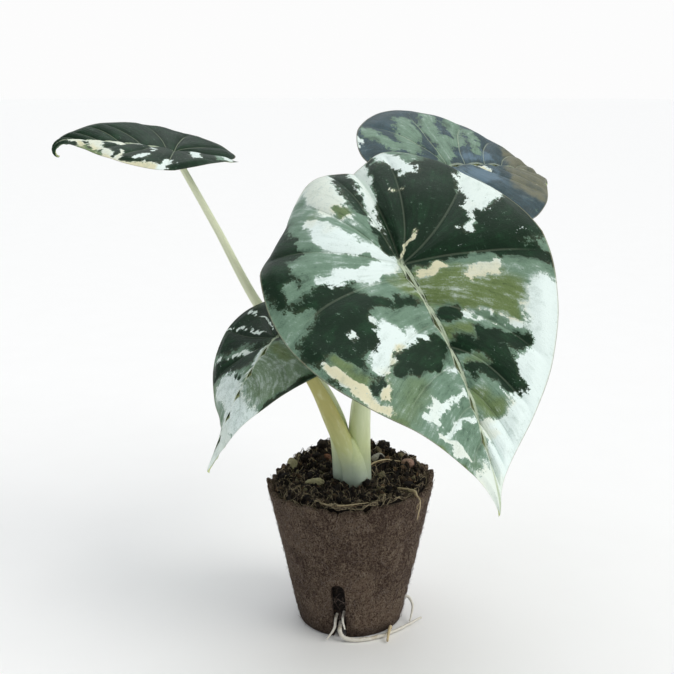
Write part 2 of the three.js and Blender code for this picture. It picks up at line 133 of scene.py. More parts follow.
# Paint laid over each blade in order: tone (0 dark, 0.5 grey-green, 1 pale), warmth, speckle, half width,
# and points as shares of the length ahead of the hub and aside from the midrib.
PAINT = {
    "front": [
        # left half, lobe
        (0.48, 0.3, 0.2, 0.05, [(-0.02, -0.25), (-0.1, -0.38)]),
        (0.62, 0.25, 0.2, 0.05, [(-0.05, -0.25), (-0.1, -0.38)]),
        (0.97, 0.4, 0.7, 0.12, [(-0.25, -0.2), (-0.4, -0.2), (-0.55, -0.18)]),
        (0.97, 0.1, 0.3, 0.03, [(-0.04, -0.1), (-0.08, -0.2), (-0.1, -0.25), (-0.2, -0.27)]),
        (0.97, 0.1, 0.2, 0.035, [(-0.02, -0.05), (-0.08, -0.12), (-0.12, -0.2)]),
        (0.48, 0.15, 0.2, 0.035, [(-0.12, -0.12), (-0.18, -0.17), (-0.24, -0.2)]),
        (0.45, 0.15, 0.2, 0.02, [(-0.1, -0.07), (-0.2, -0.1), (-0.3, -0.1)]),
        (0.35, 0.8, 0.3, 0.02, [(-0.25, -0.14), (-0.29, -0.15)]),
        (0.64, 0.5, 0.8, 0.028, [(-0.3, -0.24), (-0.4, -0.27), (-0.5, -0.26)]),
        (0.62, 0.2, 0.6, 0.035, [(-0.36, -0.26), (-0.46, -0.27), (-0.55, -0.25)]),
        (0, 0.1, 0.1, 0.035, [(-0.25, -0.07), (-0.35, -0.08), (-0.5, -0.06), (-0.62, -0.04)]),
        (0, 0.1, 0, 0.013, [(-0.05, -0.035), (-0.15, -0.055), (-0.25, -0.07)]),
        (0, 0.1, 0, 0.02, [(-0.1, 0.005), (-0.2, 0.015), (-0.3, 0.03), (-0.45, 0.055), (-0.6, 0.08)]),
        (0.95, 0.3, 0, 0.014, [(-0.08, -0.02), (-0.16, -0.026)]),
        (0.95, 0.3, 0, 0.036, [(-0.2, -0.03), (-0.3, -0.02), (-0.45, 0), (-0.62, 0.02)]),
        (0.45, 0.15, 0.2, 0.035, [(0.08, -0.4), (-0.08, -0.33), (-0.3, -0.31), (-0.4, -0.3)]),
        (0.04, 0.1, 0.15, 0.06, [(0.1, -0.47), (-0.1, -0.44), (-0.2, -0.42), (-0.4, -0.39)]),
        (0.04, 0.1, 0.1, 0.03, [(-0.05, -0.38), (-0.2, -0.37)]),
        # left half, below the side vein
        (0.45, 0.15, 0.2, 0.035, [(0.01, -0.12), (0.02, -0.35)]),
        (0.45, 0.15, 0.2, 0.03, [(-0.03, -0.3), (-0.03, -0.37)]),
        (1, 0, 0.15, 0.024, [(0.02, -0.04), (0.045, -0.15), (0.05, -0.25), (0.06, -0.32)]),
        (1, 0, 0.1, 0.02, [(0.04, -0.1), (0.07, -0.22), (0.085, -0.33)]),
        (0.04, 0.1, 0.1, 0.035, [(0.13, -0.44), (0.14, -0.4), (0.11, -0.33)]),
        (0.47, 0.2, 0.2, 0.028, [(0.07, -0.44), (0.1, -0.44)]),
        (0.47, 0.25, 0.2, 0.03, [(0.1, -0.05), (0.13, -0.2), (0.125, -0.26)]),
        (0.45, 0.3, 0.2, 0.06, [(0.2, -0.5), (0.25, -0.52)]),
        (0, 0.1, 0.25, 0.065, [(0.15, -0.27), (0.2, -0.32), (0.26, -0.38), (0.33, -0.45)]),
        (0, 0.1, 0.3, 0.065, [(0.28, -0.33), (0.38, -0.4), (0.45, -0.41)]),
        (0, 0.1, 0.3, 0.03, [(0.3, -0.26), (0.36, -0.29)]),
        (0, 0.1, 0.1, 0.026, [(0.17, -0.04), (0.185, -0.15), (0.175, -0.26)]),
        (0.45, 0.15, 0.15, 0.042, [(0.26, -0.08), (0.27, -0.2)]),
        (0.45, 0.15, 0.15, 0.03, [(0.22, -0.06), (0.22, -0.1)]),
        (1, 0, 0.1, 0.034, [(0.3, -0.22), (0.33, -0.2), (0.36, -0.25), (0.42, -0.29)]),
        (1, 0, 0.1, 0.026, [(0.32, -0.1), (0.33, -0.16), (0.35, -0.2)]),
        (0.95, 0.3, 0, 0.008, [(0.33, -0.36), (0.31, -0.34)]),
        (0.95, 0.3, 0, 0.008, [(0.26, -0.26), (0.24, -0.25)]),
        (0.95, 0.3, 0, 0.018, [(0.45, -0.31), (0.48, -0.32)]),
        (0, 0.1, 0.3, 0.026, [(0.5, -0.33), (0.53, -0.35)]),
        (0.42, 0.8, 0.8, 0.024, [(0.37, -0.43), (0.44, -0.4), (0.5, -0.37)]),
        (0.85, 0.9, 0.3, 0.017, [
            (0.42, -0.46), (0.46, -0.43), (0.52, -0.4), (0.58, -0.37), (0.63, -0.33),
        ]),
        (0.75, 0.9, 0.1, 0.016, [(0.36, -0.2), (0.45, -0.27), (0.56, -0.32)]),
        # left half, towards the tip
        (0.55, 0.4, 0.1, 0.05, [(0.5, -0.25), (0.55, -0.2)]),
        (0, 0.1, 0.1, 0.03, [(0.465, -0.25), (0.45, -0.16), (0.42, -0.09), (0.36, -0.055)]),
        (0, 0.1, 0, 0.03, [(0.41, -0.21), (0.37, -0.13), (0.345, -0.06)]),
        (0.95, 0, 0.1, 0.018, [(0.45, -0.02), (0.46, -0.05)]),
        (0.45, 0.2, 0.2, 0.03, [(0.54, -0.15), (0.48, -0.05)]),
        (0.38, 0.6, 0.3, 0.045, [(0.65, -0.29), (0.58, -0.24), (0.53, -0.2)]),
        (0.74, 0.2, 0.8, 0.014, [(0.67, -0.22), (0.6, -0.1), (0.55, -0.03)]),
        (0.72, 0.3, 0.6, 0.018, [(0.68, -0.2), (0.6, -0.17)]),
        (0.42, 0.25, 0.3, 0.018, [(0.7, -0.16), (0.62, -0.08), (0.58, -0.03)]),
        (0.72, 0.2, 0.8, 0.011, [(0.75, -0.18), (0.68, -0.1), (0.64, -0.02)]),
        (0.36, 0.3, 0.3, 0.016, [(0.76, -0.12), (0.68, -0.05)]),
        (0.36, 0.35, 0.3, 0.014, [(0.82, -0.09), (0.75, -0.03)]),
        (0.3, 0.9, 0.1, 0.02, [
            (0.68, -0.33), (0.74, -0.28), (0.79, -0.22), (0.86, -0.14), (0.92, -0.07),
        ]),
        (0.75, 0.4, 0.6, 0.01, [(0.73, -0.2), (0.82, -0.1)]),
        (0.6, 0.5, 0.2, 0.03, [(0.84, -0.07), (0.88, -0.04)]),
        # right half, lobe
        (0.02, 0.2, 0.55, 0.14, [(-0.1, 0.1), (-0.3, 0.15), (-0.42, 0.2)]),
        (0.02, 0.2, 0.35, 0.16, [(-0.15, 0.14), (-0.3, 0.22)]),
        (0.02, 0.2, 0.35, 0.1, [(-0.1, 0.35), (-0.2, 0.47)]),
        (0.02, 0.1, 0.5, 0.08, [(-0.1, 0.3), (-0.05, 0.45)]),
        (0.95, 0.25, 0.15, 0.05, [(-0.37, 0.41), (-0.29, 0.37), (-0.24, 0.36)]),
        (0.95, 0.25, 0.1, 0.03, [(-0.25, 0.44), (-0.2, 0.39), (-0.16, 0.32)]),
        (0.95, 0.3, 0, 0.014, [(-0.16, 0.3), (-0.08, 0.27), (-0.05, 0.25)]),
        (0.9, 0.2, 0, 0.035, [(-0.42, 0.17), (-0.5, 0.15), (-0.6, 0.13)]),
        (0.45, 0.3, 0.2, 0.04, [(-0.5, 0.22), (-0.55, 0.28)]),
        (0.95, 0.9, 0, 0.009, [(-0.33, 0.07), (-0.325, 0.1)]),
        (0.9, 1, 0, 0.006, [(-0.02, 0.008), (-0.06, 0.035), (-0.1, 0.07), (-0.125, 0.1)]),
        (0.02, 0.1, 0.2, 0.03, [(0.015, 0.03), (0, 0.15), (0, 0.25), (0.03, 0.35), (0.07, 0.44)]),
        (0.02, 0.1, 0.2, 0.035, [(0.06, 0.34), (0.09, 0.42), (0.12, 0.48)]),
        (0.56, 1, 0.2, 0.075, [(0.1, 0), (0.13, 0.1), (0.18, 0.18), (0.2, 0.26)]),
        (0.54, 1, 0.2, 0.055, [(0.13, 0.18), (0.25, 0.26)]),
        (0.47, 0.35, 0.3, 0.03, [(0.11, 0.34), (0.15, 0.41), (0.18, 0.46)]),
        (0.9, 1, 0, 0.014, [(0.065, 0.02), (0.06, 0.07), (0.057, 0.1)]),
        (0.9, 1, 0, 0.009, [(0.052, 0.11), (0.05, 0.13)]),
        (0.9, 0.6, 0.1, 0.017, [(0.115, 0.19), (0.1, 0.24), (0.12, 0.27), (0.085, 0.3)]),
        (0.4, 0.95, 0.2, 0.03, [(0.25, 0.2), (0.285, 0.27)]),
        # right half, towards the tip
        (1, 0.05, 0, 0.06, [(0.31, 0.39), (0.25, 0.42)]),
        (1, 0.05, 0, 0.035, [(0.22, 0.39), (0.28, 0.33)]),
        (1, 0.05, 0, 0.085, [(0.36, 0.37), (0.5, 0.31), (0.6, 0.23), (0.7, 0.15), (0.8, 0.08)]),
        (1, 0.05, 0, 0.05, [(0.48, 0.22), (0.6, 0.15), (0.7, 0.08)]),
        (0.46, 0.9, 0.3, 0.03, [(0.3, 0.03), (0.31, 0.1)]),
        (0.46, 0.9, 0.3, 0.022, [(0.42, 0.04), (0.43, 0.1)]),
        (0.95, 0.2, 0, 0.016, [(0.24, 0.1), (0.275, 0.2), (0.33, 0.26)]),
        (0.02, 0.1, 0, 0.024, [(0.225, 0.03), (0.235, 0.08)]),
        (0.42, 0.4, 0, 0.009, [(0.25, 0.14), (0.3, 0.23)]),
        (0.02, 0.1, 0.25, 0.033, [(0.35, 0.03), (0.37, 0.1), (0.36, 0.18), (0.39, 0.25)]),
        (0.02, 0.1, 0.35, 0.033, [(0.42, 0.15), (0.5, 0.15), (0.54, 0.16)]),
        (0.02, 0.1, 0.3, 0.03, [(0.45, 0.05), (0.47, 0.12)]),
        (0.02, 0.1, 0.2, 0.018, [(0.33, 0.16), (0.31, 0.12)]),
        (0.44, 0.8, 0.8, 0.036, [(0.55, 0.035), (0.61, 0.045), (0.6, 0.09)]),
        (0.9, 0.4, 0.3, 0.018, [(0.66, 0.02), (0.7, 0.03)]),
        (0.97, 0.35, 0, 0.07, [(0.9, -0.01), (1, 0)]),
    ],
    "low": [
        (0.6, 0.6, 0.6, 0.2, [(0.15, 0.1), (0.4, 0.2)]),
        (0, 0.1, 0.35, 0.08, [(0.2, -0.45), (0.18, -0.25), (0.15, -0.1)]),
        (0, 0.1, 0.35, 0.08, [(0, -0.45), (-0.05, -0.25), (-0.02, -0.1)]),
        (0, 0.1, 0.3, 0.12, [(-0.2, -0.4), (-0.3, -0.3), (-0.15, -0.2)]),
        (0, 0.1, 0.3, 0.1, [(-0.1, 0.3), (-0.2, 0.15), (-0.05, 0.05)]),
        (0.95, 0.3, 0.1, 0.009, [(0.12, -0.48), (0.1, -0.3), (0.09, -0.12)]),
        (0.95, 0.3, 0.1, 0.008, [(-0.13, -0.5), (-0.1, -0.3), (-0.05, -0.12)]),
        (0.95, 0.3, 0.1, 0.008, [(-0.28, -0.4), (-0.2, -0.2), (-0.08, -0.07)]),
        (0.35, 0.6, 0.1, 0.03, [(0.4, -0.42), (0.3, -0.45)]),
        (1, 0.1, 1.3, 0.1, [(0.35, -0.3), (0.4, -0.2), (0.5, -0.1), (0.6, 0), (0.65, 0.1), (0.7, 0.2)]),
        (1, 0.1, 0.1, 0.02, [(0.32, -0.02), (0.1, -0.01)]),
        (0, 0.1, 0, 0.012, [(0.3, -0.2), (0.32, -0.13)]),
        (0.62, 0.6, 0.5, 0.13, [(0.15, 0.15), (0.35, 0.2), (0.45, 0.3)]),
        (0.15, 0.2, 0.1, 0.02, [(0.3, 0.46), (0.45, 0.4), (0.62, 0.3)]),
        (0.4, 0.9, 0.2, 0.03, [(0.1, 0.05), (0.2, 0.2)]),
        (0.85, 0.3, 0.2, 0.1, [(0.8, 0.03), (1, 0)]),
    ],
    "high": [
        (0.05, 0.2, 0.25, 0.5, [(-0.4, -0.35), (0.6, -0.35)]),
        (0.05, 0.2, 0.3, 0.09, [(0.45, 0), (0.3, 0.1), (0.35, 0.3), (0.3, 0.45)]),
        (0.9, 0.9, 0.3, 0.03, [(0.75, 0.05), (0.7, 0.2)]),
        (0.9, 0.8, 0.3, 0.04, [(0.62, 0.05), (0.6, 0.25)]),
        (0.85, 0.5, 0.5, 0.035, [(0.8, 0.04), (0.6, 0.07), (0.45, 0.08), (0.3, 0.07)]),
        (0.9, 0.5, 0.3, 0.03, [(0.62, 0.12), (0.55, 0.25), (0.5, 0.36)]),
        (0.8, 1, 0.4, 0.03, [(0.15, 0.52), (0.4, 0.49), (0.55, 0.39), (0.7, 0.25)]),
        (0.95, 0.1, 0.3, 0.022, [(0.22, 0.36), (0.3, 0.42)]),
        (0.95, 0.1, 0.3, 0.016, [(0, 0.22), (0.02, 0.34)]),
        (0.9, 0.6, 0.1, 0.016, [(0.4, 0.3), (0.45, 0.48)]),
        (0.95, 0.2, 0, 0.016, [(0.18, 0.15), (0.17, 0.27)]),
        (0.18, 0.2, 0.3, 0.035, [(0.1, 0), (0.1, 0.3)]),
        (0, 0.1, 0.2, 0.05, [(0, 0.1), (0, 0.4)]),
        (0.95, 0.2, 0, 0.03, [(0.05, 0.42), (0.1, 0.52)]),
        (0.95, 0.2, 0.1, 0.035, [(-0.15, 0), (-0.15, 0.35)]),
        (0, 0.1, 0.1, 0.03, [(-0.25, 0.05), (-0.28, 0.3)]),
        (0.6, 0.2, 0.2, 0.03, [(-0.35, 0.1), (-0.33, 0.35)]),
        (0.95, 0.2, 0.1, 0.04, [(-0.42, 0.1), (-0.4, 0.3)]),
        (0.42, 0.9, 0.2, 0.04, [(0.6, 0.35), (0.72, 0.22)]),
    ],
    "back": [
        (0.06, 0.1, 0.35, 1, [(-0.3, 0), (0.9, 0)]),
        # painted sheen: strokes with a warmth of -1 mark where the bluish sky reflection is painted
        (0.2, -1, 0.1, 0.1, [(0.1, -0.15), (0.35, -0.2)]),
        (0.2, -1, 0.1, 0.05, [(0.2, 0.08), (0.4, 0.1)]),
        (0.2, -1, 0.1, 0.06, [(-0.2, -0.15), (-0.1, -0.3)]),
        (0.24, 0.75, 0.1, 0.2, [(0.5, -0.3), (0.7, -0.1)]),
        (0.22, 0.8, 0.1, 0.12, [(0.7, 0.12), (0.9, 0)]),
        (0.47, 0.15, 0.5, 0.09, [(-0.18, 0.22), (-0.1, 0.35), (-0.05, 0.45)]),
        (0.47, 0.15, 0.5, 0.07, [(0.05, 0.33), (0.12, 0.42), (0.18, 0.52)]),
        (0.47, 0.15, 0.5, 0.06, [(0.02, 0.07), (0.08, 0.15), (0.1, 0.24)]),
        (0.47, 0.15, 0.5, 0.07, [(0.22, 0.24), (0.3, 0.36), (0.38, 0.5)]),
        (0.47, 0.15, 0.4, 0.04, [(0.32, 0.12), (0.4, 0.24), (0.44, 0.36)]),
        (0.47, 0.15, 0.4, 0.05, [(-0.32, 0.25), (-0.38, 0.42)]),
        (0.06, 0.1, 0.3, 0.03, [(0.02, 0.3), (0, 0.42)]),
        (0.06, 0.1, 0.3, 0.025, [(0.22, 0.42), (0.2, 0.3)]),
        (0.95, 0.2, 0, 0.02, [(-0.5, 0.33), (-0.48, 0.42)]),
        (0.9, 0.2, 0.1, 0.04, [(-0.33, 0.05), (-0.38, 0.12)]),
        (0.8, 0.75, 0.1, 0.04, [(0.25, -0.05), (0.27, -0.08)]),
    ],
}
BASE_PAINT = {
    "front": (0.5, 0.3, 0.2), "low": (0.5, 0.45, 0.4), "high": (0.1, 0.2, 0.3), "back": (0.06, 0.1, 0.3),
}
PAINT_EDGE = 0.045  # softness of a stroke's edge on a blade of 95 mm
DARK_TONE = 0.27
PALE_TONE = 0.69


# ---------------------------------------------------------------- settings


def length_setting(name, text, millimetres):
    """A length property with its default given in millimetres."""
    return FloatProperty(name=name, description=text, default=millimetres * MM, min=0, unit="LENGTH")


def colour_setting(name, text, code):
    """A colour property with its default given as an sRGB code."""
    return FloatVectorProperty(
        name=name, description=text, default=linear(code), size=3, min=0, max=1, subtype="COLOR"
    )


class AlocasiaLeafSettings(bpy.types.PropertyGroup):
    """Sizes and colours of the leaves and their stalks."""

    thickness: length_setting("Thickness", "Thickness of a blade between its veins", 0.5)
    quilting: length_setting("Quilting", "How far a blade swells between its main veins", 1.6)
    dark: colour_setting("Dark", "The dark green patches", "0b2613")
    deep: colour_setting("Deep", "The second tone of the dark patches", "1f4529")
    blue: colour_setting("Blue", "The bluish dark of the back leaf", "263c3f")
    # painted sheen: the bluish reflection of the sky, painted on the back leaf
    painted_sky_sheen: colour_setting("Sheen", "The light bluish areas of the back leaf", "56707f")
    grey: colour_setting("Grey green", "The cool middle tone", "6f8b76")
    olive: colour_setting("Olive", "The warm middle tone", "6a7d4c")
    mint: colour_setting("Mint", "The cool pale tone", "e4f1ec")
    cream: colour_setting("Cream", "The warm pale tone", "dcd8b6")
    midrib: colour_setting("Midrib", "The midrib on the upper side", "c3cfb4")
    underside: colour_setting("Underside", "The paler lower side of a blade", "8fa489")
    stalk: colour_setting("Stalk", "The yellow-green stalks", "ccd697")
    foot: colour_setting("Foot", "The silvery foot of the stalks", "b9c8bd")


class AlocasiaPotSettings(bpy.types.PropertyGroup):
    """Sizes and colours of the pot and what it holds."""

    roughness: length_setting("Felt depth", "How far the felted wall stands in and out", 0.35)
    fibres: IntProperty(name="Fibres", description="Fibres on the pot", default=2400, min=0, max=4000)
    crumbs: IntProperty(name="Crumbs", description="Crumbs on the soil", default=2200, min=0, max=4000)
    fibre: colour_setting("Fibre", "The pot's lighter fibres", "93826f")
    felt: colour_setting("Felt", "The pot's darker ground", "35221a")
    soil: colour_setting("Soil", "The damp potting mix", "120d0a")
    husk: colour_setting("Husk", "The dry husk in the potting mix", "6b543c")
    root: colour_setting("Root", "The fresh roots", "d6d2c6")


class AlocasiaStageSettings(bpy.types.PropertyGroup):
    """The camera, the lights and the floor."""

    lens: FloatProperty(name="Lens", description="Focal length on a 36 mm sensor", default=56.6, min=10)
    distance: length_setting("Distance", "From the camera to the middle of the pot", 362)
    height: length_setting("Height", "Height of the camera", 196)
    floor: colour_setting("Floor", "The pale floor", "f7f6f4")


# ---------------------------------------------------------------- mesh making


def smooth(low, high, value):
    """Smooth step of numbers or arrays from low to high."""
    share = np.clip((value - low) / (high - low), 0, 1)
    return share * share * (3 - 2 * share)


def mix(first, second, share):
    """The value a share of the way between two."""
    return first + (second - first) * share


def new_grid(bm, columns, rows):
    """A new grid's vertices, with their shares across its columns and its rows."""
    verts = bmesh.ops.create_grid(bm, x_segments=columns, y_segments=rows, size=0.5)["verts"]
    flat = np.array([vert.co[:2] for vert in verts]) + 0.5
    return verts, flat[:, 0], flat[:, 1]


def full_circle(turn):
    """Angles from shares of a turn, with the last column back at the first."""
    return 2 * math.pi * np.where(turn > 0.999, 0, turn)


def turned_grid(bm, profile, sides):
    """A grid with a row for each point of a profile, with its vertices' rows and angles."""
    verts, along, turn = new_grid(bm, len(profile) - 1, sides)
    return verts, np.rint(along * (len(profile) - 1)).astype(int), full_circle(turn)


def move(verts, places):
    """Puts vertices at an array of places."""
    for vert, place in zip(verts, places):
        vert.co = place


def noise_at(places, scale, seed=0, octaves=1):
    """Noise from -1 to 1 at an array of places, for lumps of about the given size."""
    shift = Vector((seed * 7.31, seed * 3.17, seed * 5.71))
    return np.array([
        noise.fractal(Vector(place) / scale + shift, 1.0, 2.0, octaves) if octaves > 1
        else noise.noise(Vector(place) / scale + shift)
        for place in places
    ])


def ride_along(thing, replaced=()):
    """Fixes a piece to the plant and hides the frame nodes it stands for."""
    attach(thing, "root")
    if replaced:
        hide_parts(*replaced)


def piece(name, bm, finishes, replaced=(), weld=0.0005):
    """A finished object from a bmesh in millimetres."""
    bmesh.ops.remove_doubles(bm, verts=bm.verts, dist=weld)
    bmesh.ops.dissolve_degenerate(bm, edges=bm.edges, dist=weld / 2)
    bmesh.ops.recalc_face_normals(bm, faces=bm.faces)
    bmesh.ops.scale(bm, vec=(MM, MM, MM), verts=bm.verts)
    for face in bm.faces:
        face.smooth = True
    mesh = bpy.data.meshes.new(name)
    bm.to_mesh(mesh)
    bm.free()
    thing = bpy.data.objects.new(name, mesh)
    bpy.context.scene.collection.objects.link(thing)
    for finish in finishes:
        mesh.materials.append(finish)
    ride_along(thing, replaced)
    return thing


def smooth_path(points, count):
    """Evenly spaced places on a centripetal curve through the points."""
    points = [np.array(point, float) for point in points]
    padded = [2 * points[0] - points[1], *points, 2 * points[-1] - points[-2]]
    fine = []
    shares = np.linspace(0, 1, 33)[:, None]
    for a, b, c, d in zip(padded, padded[1:], padded[2:], padded[3:]):
        k0 = 0
        k1 = k0 + np.linalg.norm(b - a) ** 0.5
        k2 = k1 + np.linalg.norm(c - b) ** 0.5
        k3 = k2 + np.linalg.norm(d - c) ** 0.5
        k = mix(k1, k2, shares)
        ab = mix(a, b, (k - k0) / (k1 - k0))
        bc = mix(b, c, (k - k1) / (k2 - k1))
        cd = mix(c, d, (k - k2) / (k3 - k2))
        abc = mix(ab, bc, (k - k0) / (k2 - k0))
        bcd = mix(bc, cd, (k - k1) / (k3 - k1))
        fine.append(mix(abc, bcd, (k - k1) / (k2 - k1)))
    fine = np.concatenate(fine)
    travelled = np.concatenate([[0], np.cumsum(np.linalg.norm(np.diff(fine, axis=0), axis=1))])
    evenly = np.linspace(0, travelled[-1], count)
    return np.stack([np.interp(evenly, travelled, fine[:, axis]) for axis in range(3)], axis=1)


def strand(bm, path, radii, sides=8, section=None):
    """A round strand along evenly spaced places, closed at both ends, and its vertices' shares."""
    count = len(path)
    verts, along, turn = new_grid(bm, count - 1, sides)
    step = np.rint(along * (count - 1)).astype(int)
    tangents = np.gradient(path, axis=0)
    tangents /= np.linalg.norm(tangents, axis=1)[:, None]
    upright = np.array([0.0, 0.0, 1.0]) if abs(tangents[0][2]) < 0.9 else np.array([1.0, 0.0, 0.0])
    normals = []
    for tangent in tangents:
        upright = upright - tangent * upright.dot(tangent)
        upright /= np.linalg.norm(upright)
        normals.append(upright)
    normals = np.array(normals)
    sideways = np.cross(tangents, normals)
    radii = np.interp(np.linspace(0, 1, count), np.linspace(0, 1, len(radii)), radii)
    travelled = np.concatenate([[0], np.cumsum(np.linalg.norm(np.diff(path, axis=0), axis=1))])
    to_end = np.minimum(travelled, travelled[-1] - travelled) / np.maximum(radii, 1e-6)
    radii = radii * np.sqrt(np.clip(to_end * (2 - np.clip(to_end, 0, 1)), 0, 1))
    angle = full_circle(turn)
    radius = radii[step]
    if section is not None:
        radius = radius * section(along, angle)
    places = path[step] + radius[:, None] * (
        np.cos(angle)[:, None] * normals[step] + np.sin(angle)[:, None] * sideways[step]
    )
    move(verts, places)
    return verts, along, angle


def tint_layer(bm):
    """A vertex layer that holds each small piece's own shade."""
    return bm.verts.layers.float.get("tint") or bm.verts.layers.float.new("tint")


def tint(bm, verts, value):
    """Gives the vertices of one small piece a shade."""
    layer = tint_layer(bm)
    for vert in verts:
        vert[layer] = value


# ---------------------------------------------------------------- shader making


class Wire:
    """A node's output that adds Math nodes when it is used in an expression."""

    def __init__(self, finish, socket):
        self.finish = finish
        self.socket = socket

    def maths(self, operation, first, second=0.0):
        """The output of a new Math node."""
        return self.finish.node("Math", {"operation": operation}, {0: first, 1: second})

    def __add__(self, other):
        return self.maths("ADD", self, other)

    def __radd__(self, other):
        return self.maths("ADD", other, self)

    def __sub__(self, other):
        return self.maths("SUBTRACT", self, other)

    def __rsub__(self, other):
        return self.maths("SUBTRACT", other, self)

    def __mul__(self, other):
        return self.maths("MULTIPLY", self, other)

    def __rmul__(self, other):
        return self.maths("MULTIPLY", other, self)

    def __truediv__(self, other):
        return self.maths("DIVIDE", self, other)

    def __abs__(self):
        return self.maths("ABSOLUTE", self)

    def sine(self):
        """The sine of an angle in radians."""
        return self.maths("SINE", self)

    def larger(self, other):
        """The larger of two numbers."""
        return self.maths("MAXIMUM", self, other)

    def step(self, low, high):
        """Smooth step from 0 at low to 1 at high."""
        return self.finish.node(
            "MapRange", {"interpolation_type": "SMOOTHSTEP"}, {0: self, 1: low, 2: high, 3: 0.0, 4: 1.0}
        )


class Finish:
    """One material, whose nodes are added by Python expressions."""

    def __init__(self, name):
        self.material = bpy.data.materials.new(name)
        self.material.use_nodes = True
        self.tree = self.material.node_tree
        self.tree.nodes.clear()

    def node(self, kind, settings=None, values=None, output=0):
        """A node of a type, with its settings first and then its sockets' values or links."""
        made = self.tree.nodes.new("ShaderNode" + kind)
        for key, value in (settings or {}).items():
            setattr(made, key, value)
        for key, value in (values or {}).items():
            if isinstance(value, Wire):
                self.tree.links.new(value.socket, made.inputs[key])
            else:
                made.inputs[key].default_value = value
        return Wire(self, made.outputs[output])

    def place(self):
        """Where a point of the object is, in metres."""
        return self.node("TexCoord", output="Object")

    def attribute(self, name):
        """The three numbers that a vertex attribute holds."""
        vector = self.node("Attribute", {"attribute_name": name}, output="Vector")
        return [self.node("SeparateXYZ", values={0: vector}, output=axis) for axis in range(3)]

    def number(self, name):
        """The number that a vertex attribute holds."""
        return self.node("Attribute", {"attribute_name": name}, output="Fac")

    def vector(self, x, y, z=0.0):
        """A vector made of three numbers."""
        return self.node("CombineXYZ", values={0: x, 1: y, 2: z})

    def noise(self, where, scale, detail=2.0, roughness=0.5, distortion=0.0):
        """Noise from about 0 to 1."""
        values = {
            "Vector": where, "Scale": scale, "Detail": detail, "Roughness": roughness,
            "Distortion": distortion,
        }
        return self.node("TexNoise", values=values, output="Fac")

    def cells(self, where, scale):
        """Distances in a pattern of cells."""
        return self.node("TexVoronoi", values={"Vector": where, "Scale": scale}, output="Distance")

    def stretched(self, where, scale):
        """Coordinates stretched along the axes."""
        return self.node("Mapping", values={"Vector": where, "Scale": scale})

    def blend(self, share, first, second):
        """A mix of two colours."""
        colours = [value if isinstance(value, Wire) else (*value[:3], 1.0) for value in (first, second)]
        return self.node(
            "Mix", {"data_type": "RGBA", "clamp_factor": True},
            {0: share, 6: colours[0], 7: colours[1]}, output=2,
        )

    def bump(self, height, distance, strength=1.0):
        """A normal from a height, whose whole range is a distance in metres."""
        values = {"Height": height, "Distance": distance, "Strength": strength}
        return self.node("Bump", values=values, output="Normal")

    def done(self, colour, roughness, normal=None, **constants):
        """Joins colour, roughness and normal to the surface and returns the material."""
        values = {"Base Color": colour, "Roughness": roughness, **constants}
        if normal is not None:
            values["Normal"] = normal
        surface = self.node("BsdfPrincipled", values=values)
        end = self.tree.nodes.new("ShaderNodeOutputMaterial")
        self.tree.links.new(surface.socket, end.inputs["Surface"])
        return self.material


# ---------------------------------------------------------------- leaves


def outline_place(leaf, place):
    """Points of a blade's outline at places counted in its control points."""
    points = np.array([(-leaf["sinus"], 0), *OUTLINE])
    last = len(points) - 1
    k = np.minimum(np.floor(place).astype(int), last - 1)
    t = (place - k)[:, None]
    before, start, end, after = (points[np.clip(k + shift, 0, last)] for shift in (-1, 0, 1, 2))
    leaving, arriving = (end - before) / 2, (after - start) / 2
    return (
        (2 * start - 2 * end + leaving + arriving) * t**3
        + (3 * end - 3 * start - 2 * leaving - arriving) * t**2
        + leaving * t
        + start
    )


def bow(leaf, ahead):
    """How far the midrib is carried sideways at a distance ahead of the hub."""
    return leaf["bow"] * leaf["length"] * np.sin(math.pi * np.clip(ahead / leaf["length"], 0, 1))


def flat_place(leaf, vein, share, side):
    """Distances ahead of the hub and aside from the midrib, from vein numbers and shares along them."""
    starts, ends = np.array(VEINS[side]).T
    numbers = np.arange(len(starts))
    edge = outline_place(leaf, np.interp(vein, numbers, ends))
    edge_ahead = edge[:, 0] * leaf["length"] * np.where(edge[:, 0] < 0, leaf["lobe"], 1)
    edge_aside = edge[:, 1] * leaf["length"] * leaf["width"] - side * bow(leaf, edge_ahead)
    start = np.interp(vein, numbers, starts) * leaf["length"]
    bending = 2 * share * (1 - share)
    ahead = (1 - share) ** 2 * start + bending * mix(start, edge_ahead, VEIN_AHEAD) + share**2 * edge_ahead
    aside = (bending * VEIN_ASIDE + share**2) * edge_aside
    return ahead, aside


